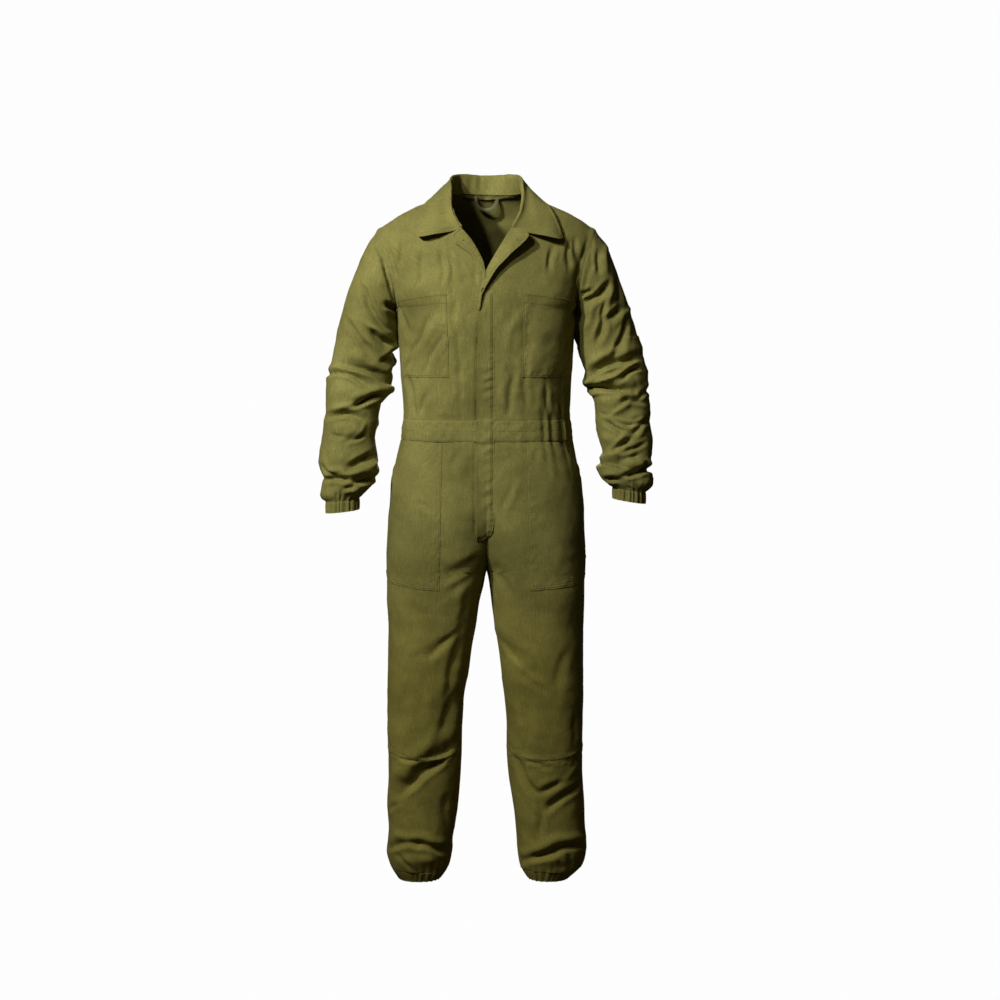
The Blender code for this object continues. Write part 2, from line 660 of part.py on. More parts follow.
def make_back(seams):
    points, normals, at_shoulder = back_grid()
    outer, inner = wall(points, normals, CLOTH)
    draw_in(outer, inner, "first_row", "first_column", "last_column")
    rows = (2 * ARM_STEPS - np.arange(ARM_STEPS, -1, -1)) % (2 * ARM_STEPS)
    between = (NECK_BAND_LEVEL - TORSO_LEVELS[-2]) * ARM_STEPS
    for side, column in (("left", 0), ("right", -1)):
        for grid, seam in zip((outer, inner), seam_faces(seams[side], -1)):
            edge = seam[rows]
            middle = (1 - between) * edge[-2] + between * edge[-1]
            grid[ARMPIT_ROW:, column] = np.concatenate([edge[:-1], [middle], edge[-1:]])
        outer[ARMPIT_ROW, column, 1] += SEAM_GAP / 2
        inner[ARMPIT_ROW, column, 1] += SEAM_GAP / 2
    outer[-1, at_shoulder, 1] += SEAM_GAP / 2
    inner[-1, at_shoulder, 1] += SEAM_GAP / 2
    neck = np.flatnonzero(~at_shoulder)
    step = unit(outer[-2, neck] - outer[-1, neck]) * SEAM_GAP / 2
    outer[-1, neck] += step
    inner[-1, neck] += step
    make_wall("back", outer, inner, cell_triangles(*outer.shape[:2]))


def make_chest_pocket(side):
    points, normals = front_grid(side)
    low, high = CHEST_POCKET_ROWS
    area = np.s_[low : high + 1, 3:8]
    outer, inner = wall(points[area], normals[area], CLOTH, LAYER_GAP)
    make_wall(f"chest_pocket_{side}", outer, inner, cell_triangles(*outer.shape[:2]))


def make_neck_band():
    """A strip inside the back, along the neck seam: its points are the panel's, moved in."""
    points, normals, at_shoulder = back_grid()
    area = np.ix_([-2, -1], np.flatnonzero(~at_shoulder))
    outer = points[area] - normals[area] * (CLOTH + LAYER_GAP)
    inner = outer - normals[area] * TAPE
    draw_in(outer, inner, "last_row", gap=0.6)
    make_wall("neck_band", outer, inner, cell_triangles(*outer.shape[:2]))
    return inner, normals[area]


# ---------------------------------------------------------------- waistband
def belt_grid(panel, angles, rows, count):
    """The waistband between its two seams, with the gathers of its elastic."""
    top = 0.0
    bottom = (WAIST_BOTTOM - WAIST_TOP) / (ARMPIT_Z - WAIST_TOP)
    level = np.linspace(bottom, top, rows)[:, None]
    points, normals = torso_skin(panel, angles, level)
    share = (angles - angles[0]) / (angles[-1] - angles[0])
    fade = eased(share * 8) * eased((1 - share) * 8) if panel == "back" else eased((share - 0.12) * 4)
    height = fade * waves(WAIST_WAVE_HEIGHT[panel], count, share)
    return points + normals * (height * np.ones_like(level))[..., None], normals


def belt_angles(side):
    """Angles of a front waistband's columns: the middle, the fly's edge and on to the side seam."""
    dense = np.linspace(0, 20, 81)
    fly = np.interp(FLY_HALF_WIDTH, torso(dense, 0)[:, 0], dense)
    steps = WAIST_WAVES[side] * SAMPLES_PER_WAVE + 3
    return np.concatenate([[0], np.linspace(fly, 90, steps)])


def make_waistband():
    for side in SIDES:
        angles = belt_angles(side)
        points, normals = belt_grid(side, angles, 3, WAIST_WAVES[side])
        normals[:, 0, 0] = 0
        normals[:, -1, 1] = 0
        outer, inner = wall(points, unit(normals), DOUBLE_CLOTH)
        draw_in(outer, inner, "first_row", "last_row", "first_column", "last_column")
        make_wall(f"waistband_front_{side}", outer, inner, cell_triangles(*outer.shape[:2]))
    count = WAIST_WAVES["back"]
    angles = np.linspace(90.0001, 269.9999, count * SAMPLES_PER_WAVE + 1)
    points, normals = belt_grid("back", angles, 2, count)
    normals[:, [0, -1], 1] = 0
    outer, inner = wall(points, unit(normals), DOUBLE_CLOTH)
    draw_in(outer, inner, "first_row", "last_row", "first_column", "last_column")
    make_wall("waistband_back", outer, inner, cell_triangles(*outer.shape[:2]))


# ---------------------------------------------------------------- legs
def seam_angle(side, z, toward):
    """Angle at which a leg's section meets the middle plane, at the front (1) or the back (-1)."""
    dense = np.linspace(0, 180, 721)
    found = []
    for level in np.atleast_1d(z):
        x = leg(side, dense * toward, level)[:, 0]
        found.append(180.0 if x[-1] > 0.5 else float(np.interp(0, -x, dense)))
    return np.array(found)


def angle_at(side, x, z):
    """Angle at which the front of a leg's section has this x."""
    dense = np.linspace(0, 180, 721)
    return float(np.interp(-x, -leg(side, dense, z)[:, 0], dense))


def leg_front_angles(side, rows):
    """Angles of the columns of a trouser front: side seam, hip pocket, fly edge, middle seam."""
    pocket_x = table("z right left", (HIP_POCKET_BOTTOM, 103, 95), (WAIST_BOTTOM, 95, 84))
    found = []
    for z, end in zip(rows, seam_angle(side, rows, 1)):
        if z >= HIP_POCKET_BOTTOM:
            pocket = angle_at(side, np.interp(z, pocket_x["z"], pocket_x[side]), z)
        else:
            drift = min((HIP_POCKET_BOTTOM - z) / 120, 1)
            pocket = (1 - drift) * 95 + drift * 108
        even = end - (end - pocket) / 4
        if z >= FLY_BOTTOM:
            fly = angle_at(side, FLY_HALF_WIDTH, z)
        else:
            drift = min((FLY_BOTTOM - z) / 60, 1)
            fly = (1 - drift) * (end - 14) + drift * even
        found.append(np.concatenate([
            np.linspace(0, pocket, HIP_POCKET_CELLS + 1),
            np.linspace(pocket, fly, 4)[1:],
            [end],
        ]))
    return np.array(found)


def leg_front_grid(side):
    rows = np.array(LEG_ROWS, float)
    points, normals = leg_skin(side, leg_front_angles(side, rows), rows[:, None])
    return points, seam_normals(normals, rows)


def seam_normals(normals, rows):
    """Turns the normals at a panel's two edges into the planes of its seams."""
    above = rows > CROTCH
    normals[:, 0, 1] = 0
    normals[above, -1, 0] = 0
    normals[~above, -1, 1] = 0
    return unit(normals)


def make_leg(side):
    points, normals = leg_front_grid(side)
    outer, inner = wall(points, normals, CLOTH)
    draw_in(outer, inner, "first_row", "last_row", "first_column", "last_column")
    make_wall(f"leg_front_upper_{side}", outer, inner, cell_triangles(*outer.shape[:2]))

    rows = np.array(SHIN_ROWS, float)
    points, normals = leg_skin(side, np.linspace(0, 180, 10), rows[:, None])
    outer, inner = wall(points, seam_normals(normals, rows), CLOTH)
    draw_in(outer, inner, "first_row", "last_row", "first_column", "last_column")
    make_wall(f"leg_front_lower_{side}", outer, inner, cell_triangles(*outer.shape[:2]))

    rows = np.array(LEG_BACK_ROWS, float)
    ends = seam_angle(side, rows, -1)
    angles = 360 - np.linspace(0, 1, 10) * ends[:, None]
    points, normals = leg_skin(side, angles, rows[:, None])
    outer, inner = wall(points, seam_normals(normals, rows), CLOTH)
    draw_in(outer, inner, "first_row", "last_row", "first_column", "last_column")
    make_wall(f"leg_back_{side}", outer, inner, cell_triangles(*outer.shape[:2]))


def make_hip_pocket(side):
    """A patch from the waist seam and the side seam, its upper outer corner cut off for the hand."""
    points, normals = leg_front_grid(side)
    rows = LEG_ROWS.index(HIP_POCKET_BOTTOM) + 1
    area = np.s_[:rows, : HIP_POCKET_CELLS + 1]
    outer, inner = wall(points[area], normals[area], CLOTH, LAYER_GAP)
    draw_in(outer, inner, "first_row", "first_column")
    row, column = np.meshgrid(np.arange(rows - 1), np.arange(HIP_POCKET_CELLS), indexing="ij")
    keep = row + column >= HIP_MOUTH_CELLS
    halved = [(k, HIP_MOUTH_CELLS - 1 - k) for k in range(HIP_MOUTH_CELLS)]
    triangles = cell_triangles(*outer.shape[:2], keep=keep, halved=halved)
    make_wall(f"hip_pocket_{side}", outer, inner, triangles)


def make_ankle_hem(side):
    count = ANKLE_WAVES * SAMPLES_PER_WAVE
    angles = np.arange(count) * 360 / count
    points, normals = leg_skin(side, angles, np.array([[ANKLE_TOP], [ANKLE_BOTTOM]], float))
    height = waves(ANKLE_WAVE_HEIGHT, ANKLE_WAVES, np.arange(count) / count)
    normals[..., 2] = 0
    normals = unit(normals)
    points = points + normals * height[:, None]
    outer, inner = wall(points, normals, DOUBLE_CLOTH)
    draw_in(outer, inner, "first_row")
    triangles = cell_triangles(*outer.shape[:2], closed=True)
    make_wall(f"ankle_hem_{side}", outer, inner, triangles)


# ---------------------------------------------------------------- sleeves
def make_sleeve(side, seam):
    points, normals = sleeve_skin(side, SLEEVE_ANGLES, np.array(SLEEVE_ROWS, float)[:, None])
    outer, inner = wall(points, normals, CLOTH)
    outer[0], inner[0] = seam_faces(seam, 1)
    draw_in(outer, inner, "last_row")
    triangles = cell_triangles(*outer.shape[:2], closed=True)
    make_wall(f"sleeve_{side}", outer, inner, triangles)


def make_cuff(side):
    count = CUFF_WAVES * SAMPLES_PER_WAVE
    angles = np.arange(count) * 360 / count
    points, normals = sleeve_skin(side, angles, np.array([[LAST_RING], [LAST_RING + 1]], float))
    height = waves(CUFF_WAVE_HEIGHT, CUFF_WAVES, np.arange(count) / count)
    normals[..., 2] = 0
    normals = unit(normals)
    points = points + normals * height[:, None]
    outer, inner = wall(points, normals, DOUBLE_CLOTH)
    draw_in(outer, inner, "first_row")
    triangles = cell_triangles(*outer.shape[:2], closed=True)
    make_wall(f"cuff_{side}", outer, inner, triangles)


# ---------------------------------------------------------------- fly
def make_fly_strip():
    """The strip that covers the closure. Its points are those of the two fronts, the waistband and
    the two trouser fronts at the middle and at the strip's edges, moved out."""
    columns, ways = [], []
    for side, order in (("right", (1, 0)), ("left", (1,))):
        front_points, front_normals = front_grid(side)
        free = front_points[:, 0, 2] < FLY_EDGE["z"][-1]
        top = int(free.sum())
        angles = belt_angles(side)[:2]
        belt_points, belt_normals = belt_grid(side, np.append(angles, 90), 3, 0)
        leg_points, leg_normals = leg_front_grid(side)
        low = LEG_ROWS.index(FLY_BOTTOM) + 1
        for column in order:
            columns.append(np.concatenate([
                front_points[:top, column][::-1],
                belt_points[1, column][None],
                leg_points[:low, -1 - column],
            ]))
            ways.append(np.concatenate([
                front_normals[:top, column][::-1],
                belt_normals[1, column][None],
                leg_normals[:low, -1 - column],
            ]))
    points, normals = np.stack(columns, axis=1), unit(np.stack(ways, axis=1))
    reach = np.clip(np.interp(points[:, 1, 2], FLY_EDGE["z"], -FLY_EDGE["x"]) / FLY_HALF_WIDTH, 0.05, 1)
    points[:, 0] = points[:, 1] + (points[:, 0] - points[:, 1]) * reach[:, None]
    normals[:, 1] = unit(normals[:, 0] + normals[:, 2])
    outer, inner = wall(points, normals, CLOTH, LAYER_GAP)
    make_wall("fly_strip", outer, inner, cell_triangles(*outer.shape[:2], crossed=[1]))


# ---------------------------------------------------------------- collar and lapels
def over_body(side, share, height):
    """Point and normal of the body over the shoulder: height 0 is the armpit's level in front, 1
    the shoulder seam and 2 the armpit's level behind. Share runs from the middle to the armhole."""
    share, height = np.broadcast_arrays(np.asarray(share, float), np.asarray(height, float))
    front, front_normal = torso_skin(side, 90 * share, 1 + np.minimum(height, 1))
    turned = 180 - 90 * share
    angle = np.where(SIDES[side] < 0, 360 - turned, turned)
    back, back_normal = torso_skin("back", np.clip(angle, 90.0001, 269.9999), 3 - np.maximum(height, 1))
    ahead = (height <= 1)[..., None]
    return np.where(ahead, front, back), unit(np.where(ahead, front_normal, back_normal))


def neck_seam(side):
    """The collar's seam, from the centre back over the shoulder to the gorge: the panels' own
    points and, between each two, one in the middle. Also the share of its length at each."""
    front, front_normals = front_grid(side)
    back, back_normals, at_shoulder = back_grid()
    centre = back.shape[1] // 2
    reach = (~at_shoulder).sum() // 2
    columns = centre - np.arange(reach + 1) * SIDES[side]
    rows = np.arange(len(TORSO_LEVELS) - 1, GORGE_ROW - 1, -1)
    points = np.concatenate([back[-1, columns], front[rows, 0]])
    normals = np.concatenate([back_normals[-1, columns], front_normals[rows, 0]])
    return halved(points), unit(halved(normals)), share_along(halved(points))


def halved(points):
    """A line's points, with one more in the middle of each stretch."""
    k = np.arange(0, len(points) - 0.9, 0.5)
    low, high = np.floor(k).astype(int), np.ceil(k).astype(int)
    return (points[low] + points[high]) / 2


def share_along(points):
    steps = np.linalg.norm(np.diff(points, axis=0), axis=1)
    return np.concatenate([[0], np.cumsum(steps)]) / steps.sum()


def make_collar():
    """Stand, fold and fall in one. Each column of points runs from the neck seam up the inside of
    the stand, over the fold and down the fall to the edge of the leaf."""
    thick = DOUBLE_CLOTH
    turn = COLLAR_FOLD
    halves = []
    for side in ("right", "left"):
        seam, seam_normal, t = neck_seam(side)
        inwards = unit(np.cross(np.gradient(seam, axis=0), seam_normal)) * SIDES[side]
        fold = seam + sum(
            through(COLLAR_TOP, name, t, key="t")[:, None] * way
            for name, way in (("inwards", inwards), ("off", seam_normal))
        )
        share, height, lift = (
            through(COLLAR_EDGE, name, t, key="t") for name in (f"share_{side}", "height", "lift")
        )
        edge, edge_normal = over_body(side, share, height)
        rise = unit(fold - seam)
        out = unit(seam_normal - rise * (seam_normal * rise).sum(-1, keepdims=True))
        centre = fold - rise * (turn + thick)
        foot = seam + inwards * COLLAR_SEAM_GAP
        hidden = [
            foot,
            foot + (centre - out * turn - foot) * 0.5,
            centre - out * turn,
            centre + rise * turn,
            centre + out * turn,
        ]
        seen = [
            foot - seam_normal * thick,
            hidden[1] - out * thick,
            centre - out * (turn + thick),
            fold,
            centre + out * (turn + thick),
        ]
        last_seen = edge + edge_normal * lift[:, None]
        last_hidden = edge + edge_normal * (lift - thick)[:, None]
        for share_down, bow in ((0.36, 1.0), (0.7, 0.9)):
            bulge = out * (COLLAR_BOW * bow * eased(1.6 - 1.2 * t))[:, None]
            seen.append(seen[4] + (last_seen - seen[4]) * share_down + bulge)
            hidden.append(hidden[4] + (last_hidden - hidden[4]) * share_down + bulge)
        seen.append(last_seen)
        hidden.append(last_hidden)
        halves.append((np.stack(seen), np.stack(hidden)))
    (right_seen, right_hidden), (left_seen, left_hidden) = halves
    outer = np.concatenate([right_seen[:, ::-1], left_seen[:, 1:]], axis=1)
    inner = np.concatenate([right_hidden[:, ::-1], left_hidden[:, 1:]], axis=1)
    middle = outer.shape[1] // 2
    outer[:, middle, 0] = inner[:, middle, 0] = 0
    draw_in(outer, inner, "first_column", "last_column", gap=COLLAR_SEAM_GAP)
    make_wall("collar", outer, inner, cell_triangles(*outer.shape[:2]))


def on_front(side, x, z):
    """Point and normal of a front at a place given as seen from the front, found by stepping."""
    x, z = np.asarray(x, float), np.asarray(z, float)
    angle, level = np.abs(x) / ARMPIT_X * 80, 1 + np.clip((z - ARMPIT_Z) / 400, 0, 0.9)
    for _ in range(30):
        here = torso(angle, level)
        aside, above = torso(angle + 0.1, level), torso(angle, level + 0.001)
        across, up = (aside - here) / 0.1, (above - here) / 0.001
        dx, dz = np.abs(x) - here[..., 0], z - here[..., 2]
        size = across[..., 0] * up[..., 2] - up[..., 0] * across[..., 2]
        angle = np.clip(angle + (dx * up[..., 2] - dz * up[..., 0]) / size, 0, 85)
        level = np.clip(level + (dz * across[..., 0] - dx * across[..., 2]) / size, 0.8, 1.95)
    points, normals = torso_skin(side, angle, level)
    turned = np.sign(x) * SIDES[side] < 0
    mirror = xyz(np.where(turned, -1, 1), 1, 1)
    return points * mirror, normals * mirror


def lapel_grid(side):
    """A lapel: from the inside of the front round the roll line and out over the front. The roll
    line is the front's own free edge, from the gorge to the break, or on the right, which lies
    under the left, to a little above it."""
    front, front_normals = front_grid(side)
    rows = np.arange(GORGE_ROW, BREAK_ROW - 1, -1)
    length = {"right": -1, "left": None}[side]
    roll, roll_normal = halved(front[rows, 0])[:length], unit(halved(front_normals[rows, 0]))[:length]
    t = np.linspace(0, 1, len(roll))
    sizes = LAPELS[side]
    edge, edge_normal = on_front(side, through(sizes, "edge_x", t, "t"), through(sizes, "edge_z", t, "t"))
    lift = through(sizes, "lift", t, "t")[:, None]
    # The roll turns away from the leaf's edge, and at the gorge square to the neck seam.
    way = edge - roll
    from_edge = -unit(way - roll_normal * (way * roll_normal).sum(-1, keepdims=True))
    square = unit(np.cross(np.gradient(roll, axis=0), roll_normal)) * SIDES[side]
    away = unit(square + (from_edge - square) * eased(3 * t)[:, None])
    centre = roll + away * SEAM_GAP + roll_normal * LAPEL_FOLD
    hidden, seen = [], []
    for degrees in (0, 60, 120, 180):
        turn = np.radians(degrees)
        spoke = -roll_normal * np.cos(turn) + away * np.sin(turn)
        hidden.append(centre + spoke * LAPEL_FOLD)
        seen.append(centre + spoke * (LAPEL_FOLD + CLOTH))
    last_seen, last_hidden = edge + edge_normal * lift, edge + edge_normal * (lift - CLOTH)
    bow = roll_normal * np.minimum(np.linalg.norm(way, axis=-1, keepdims=True) * 0.06, 3)
    seen.append((seen[3] + last_seen) / 2 + bow)
    hidden.append((hidden[3] + last_hidden) / 2 + bow)
    seen.append(last_seen)
    hidden.append(last_hidden)
    return np.stack(seen), np.stack(hidden)


def make_lapel(side):
    outer, inner = lapel_grid(side)
    make_wall(f"lapel_{side}", outer, inner, cell_triangles(*outer.shape[:2]))


def make_collar_button():
    """A flat button sewn to the right front, now on the hidden side of the turned lapel."""
    outer, inner = lapel_grid("right")
    cell = np.s_[3:5, 1:3]
    out = unit((outer - inner)[cell].reshape(-1, 3).mean(0))
    top = inner[cell].reshape(-1, 3).mean(0) - out * BUTTON_GAP
    flat = unit(np.cross(out, [0.0, 0.0, 1.0]))
    up = np.cross(out, flat)
    turn = np.radians(np.arange(16) * 22.5)
    ring = flat * np.cos(turn)[:, None] + up * np.sin(turn)[:, None]
    profile = ((0.0, 0.0), (BUTTON_RADIUS - 1, 0.0), (BUTTON_RADIUS, 0.8),
               (BUTTON_RADIUS, BUTTON_THICK - 0.6), (BUTTON_RADIUS - 1, BUTTON_THICK), (0.0, BUTTON_THICK))
    rings = [top + ring * radius - out * down for radius, down in profile]
    points = np.concatenate([rings[0][:1], *rings[1:-1], rings[-1][:1]])
    count = len(turn)
    around = np.arange(count)
    following = (around + 1) % count
    last = len(points) - 1
    faces = [(0, 1 + following[k], 1 + around[k]) for k in range(count)]
    for step in range(len(profile) - 3):
        low, high = 1 + step * count, 1 + (step + 1) * count
        faces += [(low + around[k], low + following[k], high + following[k]) for k in range(count)]
        faces += [(low + around[k], high + following[k], high + around[k]) for k in range(count)]
    low = 1 + (len(profile) - 3) * count
    faces += [(low + around[k], low + following[k], last) for k in range(count)]
    make_node("collar_button", points, faced_out(points, np.array(faces)), BUTTON_PLASTIC)


def make_hanger_loop(band, ways):
    """A tape bent to a U, sewn by its two ends to the band inside the neck."""
    middle = band.shape[1] // 2
    ends = []
    for column in (middle + 1, middle - 1):
        low, high = band[:, column]
        way = unit(ways[:, column].mean(0))
        ends.append(0.35 * low + 0.65 * high - way * (0.45 + LOOP_THICK / 2))
    start, end = ends
    t = np.linspace(0, 1, LOOP_STEPS + 1)[:, None]
    hang = 1 - np.abs(2 * t - 1) ** 2.6
    path = start + (end - start) * t + np.array([0, -2.0, -LOOP_DROP]) * hang
    along = unit(np.gradient(path, axis=0))
    deep = unit(np.cross(along, np.cross([0.0, 1.0, 0.0], along)))
    wide = np.cross(along, deep)
    corners = [(-1, -1), (1, -1), (1, 1), (-1, 1)]
    rings = np.stack(
        [path + wide * a * LOOP_WIDE / 2 + deep * b * LOOP_THICK / 2 for a, b in corners], axis=1
    )
    points = rings.reshape(-1, 3)
    faces = []
    for step in range(LOOP_STEPS):
        for k in range(4):
            a, b = 4 * step + k, 4 * step + (k + 1) % 4
            faces += [(a, b, b + 4), (a, b + 4, a + 4)]
    last = 4 * LOOP_STEPS
    faces += [(0, 2, 1), (0, 3, 2), (last, last + 1, last + 2), (last, last + 2, last + 3)]
    make_node("hanger_loop", points, faced_out(points, np.array(faces)), LOOP_TAPE)


def faced_out(points, faces):
    """Triangles of a closed body, turned over if they face in."""
    a, b, c = (points[faces[:, k]] - points.mean(0) for k in range(3))
    return faces[:, ::-1] if (a * np.cross(b, c)).sum() < 0 else faces


def main():
    for old in list(bpy.data.objects):
        bpy.data.objects.remove(old)
    seams = {side: armhole_seam(side) for side in SIDES}
    make_back(seams)
    make_hanger_loop(*make_neck_band())
    make_waistband()
    make_fly_strip()
    make_collar()
    make_collar_button()
    for side in SIDES:
        make_front(side, seams[side])
        make_lapel(side)
        make_chest_pocket(side)
        make_leg(side)
        make_hip_pocket(side)
        make_ankle_hem(side)
        make_sleeve(side, seams[side])
        make_cuff(side)


main()
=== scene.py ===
# %% [markdown]
# # A boiler suit, filled out and hollow
# A boiler suit is a shirt and trousers sewn together at a waistband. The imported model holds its
# collision solids and its sizes. This notebook lays fine cloth over those solids, panel by panel.
# Each panel is a grid of points worked out with numpy, then folded, stitched and given a thickness.

import bpy
import numpy as np
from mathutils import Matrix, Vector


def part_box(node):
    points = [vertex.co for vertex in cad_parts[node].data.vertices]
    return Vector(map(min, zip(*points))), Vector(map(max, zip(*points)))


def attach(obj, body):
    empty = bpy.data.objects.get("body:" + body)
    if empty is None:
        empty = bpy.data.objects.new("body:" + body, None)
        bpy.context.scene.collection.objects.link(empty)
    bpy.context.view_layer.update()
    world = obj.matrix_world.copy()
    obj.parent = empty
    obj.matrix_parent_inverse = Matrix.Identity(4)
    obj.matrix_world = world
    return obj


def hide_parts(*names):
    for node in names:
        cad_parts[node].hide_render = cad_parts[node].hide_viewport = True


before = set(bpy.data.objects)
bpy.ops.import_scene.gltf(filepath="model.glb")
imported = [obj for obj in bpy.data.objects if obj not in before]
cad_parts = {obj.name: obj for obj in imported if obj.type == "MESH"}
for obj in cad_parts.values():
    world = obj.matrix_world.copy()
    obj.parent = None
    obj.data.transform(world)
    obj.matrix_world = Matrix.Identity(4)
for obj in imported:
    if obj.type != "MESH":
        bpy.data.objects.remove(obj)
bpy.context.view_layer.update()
MM = 0.001
SIDES = {"right": -1, "left": 1}

# %% [markdown]
# ## The viewer
# Some folds are placed where they are seen from the front, so the eye comes first: 4.2 m away, a
# little below the shoulders, with a long lens. `seen` gives a point's place in the picture, from
# 0 to 1000 across and down.

# %% The camera and its picture
EYE = np.array([0.0, -4200.0, -280.0])
FOCAL = 1909.0       # picture units: 68.7 mm on a 36 mm sensor
PITCH_DOWN, YAW_RIGHT = 4.76, 0.405

camera = bpy.data.objects.new("camera", bpy.data.cameras.new("camera"))
bpy.context.scene.collection.objects.link(camera)
camera.location = EYE * MM
camera.rotation_euler = (np.radians(90 - PITCH_DOWN), 0, -np.radians(YAW_RIGHT))
camera.data.sensor_width = 36
camera.data.lens = 36 * FOCAL / 1000
bpy.context.scene.camera = camera


def seen(points):
    """Where points in millimetres fall in the picture: along the view's own axes, over depth."""
    pitch, yaw = np.radians(PITCH_DOWN), np.radians(YAW_RIGHT)
    forward = np.array([np.sin(yaw) * np.cos(pitch), np.cos(yaw) * np.cos(pitch), -np.sin(pitch)])
    right = np.array([np.cos(yaw), -np.sin(yaw), 0])
    up = np.cross(right, forward)
    away = points - EYE
    depth = away @ forward
    return 500 + FOCAL * (away @ right) / depth, 500 - FOCAL * (away @ up) / depth


print("the origin is seen at", *(round(float(v), 1) for v in seen(np.zeros(3))))

# %% [markdown]
# ## The three surfaces
# The torso, the legs and the sleeves are tubes. Each is a function of an angle round the tube and
# a place along it, and it reads its widths and depths from a short table with a smooth curve
# through the rows. The sections are squared ellipses, as cloth on a body is.

# %% Curves through tables
def rows_of(text):
    """Rows of numbers from text: one row to a line, or several with semicolons between."""
    rows = text.replace(";", "\n").splitlines()
    return [[float(word) for word in row.split()] for row in rows if row]


def table(columns, text):
    """A table of sizes as one array for each named column."""
    return dict(zip(columns.split(), np.array(rows_of(text)).T))


def curve(places, values, at):
    """Smooth curve through values at rising places: cubic pieces, with slopes from the neighbours."""
    slopes = np.gradient(values, places, axis=0)
    at = np.clip(np.asarray(at, float), places[0], places[-1])
    k = np.clip(np.searchsorted(places, at) - 1, 0, len(places) - 2)
    step = places[k + 1] - places[k]
    t = (at - places[k]) / step
    t, step = (a.reshape(a.shape + (1,) * (values.ndim - 1)) for a in (t, step))
    return (
        (1 + 2 * t) * (1 - t) ** 2 * values[k]
        + t * (1 - t) ** 2 * step * slopes[k]
        + t**2 * (3 - 2 * t) * values[k + 1]
        + t**2 * (t - 1) * step * slopes[k + 1]
    )


def through(sizes, column, at, key="z"):
    """A column of a table of sizes, read at any place between its rows."""
    return curve(sizes[key], sizes[column], at)


SQUARENESS = 2.3      # 2 would be an ellipse


def rounded(angle):
    """Sine and cosine pushed out towards a square: |s|^n + |c|^n = 1."""
    s, c = np.sin(np.radians(angle)), np.cos(np.radians(angle))
    reach = (np.abs(s) ** SQUARENESS + np.abs(c) ** SQUARENESS) ** (-1 / SQUARENESS)
    return s * reach, c * reach


def eased(t):
    """0 below 0, 1 above 1, and t^2 (3 - 2t) between."""
    t = np.clip(t, 0, 1)
    return t * t * (3 - 2 * t)


def bell(away, wide):
    """1 in the middle, falling off as exp(-(away / wide)^2)."""
    return np.exp(-((away / wide) ** 2))


def unit(vectors):
    """Vectors scaled to length 1."""
    return vectors / np.maximum(np.linalg.norm(vectors, axis=-1, keepdims=True), 1e-9)


def xyz(x, y, z):
    """Points from their three coordinates."""
    return np.stack(np.broadcast_arrays(x, y, z), axis=-1).astype(float)


# %% The torso
WAIST_TOP, WAIST_BOTTOM = -449, -497
WAIST_HALF_WIDTH, WAIST_HALF_DEPTH = 187, 124
ARMPIT_X, ARMPIT_Z = 196, -208
SHOULDER_TIP_X, SHOULDER_TIP_Z, SHOULDER_CREST = 241, -34, 67
ARMHOLE_FRONT, ARMHOLE_BACK = 62, 66
NECK_SHARE, NECK_SEAM_Z = 0.3195, 42.7
GORGE_LEVEL, BREAK_LEVEL = 1.6, 1.3      # levels of the body where each lapel begins and ends
BELT_LEVEL = (WAIST_BOTTOM - WAIST_TOP) / (ARMPIT_Z - WAIST_TOP)

TORSO = table("z half_width front back", """
-500 187 119 130; -449 181 118 127; -374 185 124 131; -321 188 128 134; -278 191 130 136
-208 196 130 138
""")
NECKLINE = table("z right left", """
-420 0 0; -160 0 0; -134 2 2; -100 15 19; -66 35 40; -38 58 58; -12 73 73; 16 78 78; 43 77 77
90 77 77
""")


def off_shoulder(points):
    """How far a point near the shoulder's tip moves inwards, so that the sleeve flows on from the
    shoulder with no corner: 5 mm at the tip, a bell of 28 mm round it."""
    away = points - (SHOULDER_TIP_X, 0, SHOULDER_TIP_Z)
    near = np.exp(-(away[..., 0] ** 2 + away[..., 2] ** 2) / 28**2 - (away[..., 1] / 60) ** 2)
    return near[..., None] * np.array([-3.3, 0, -4.0])


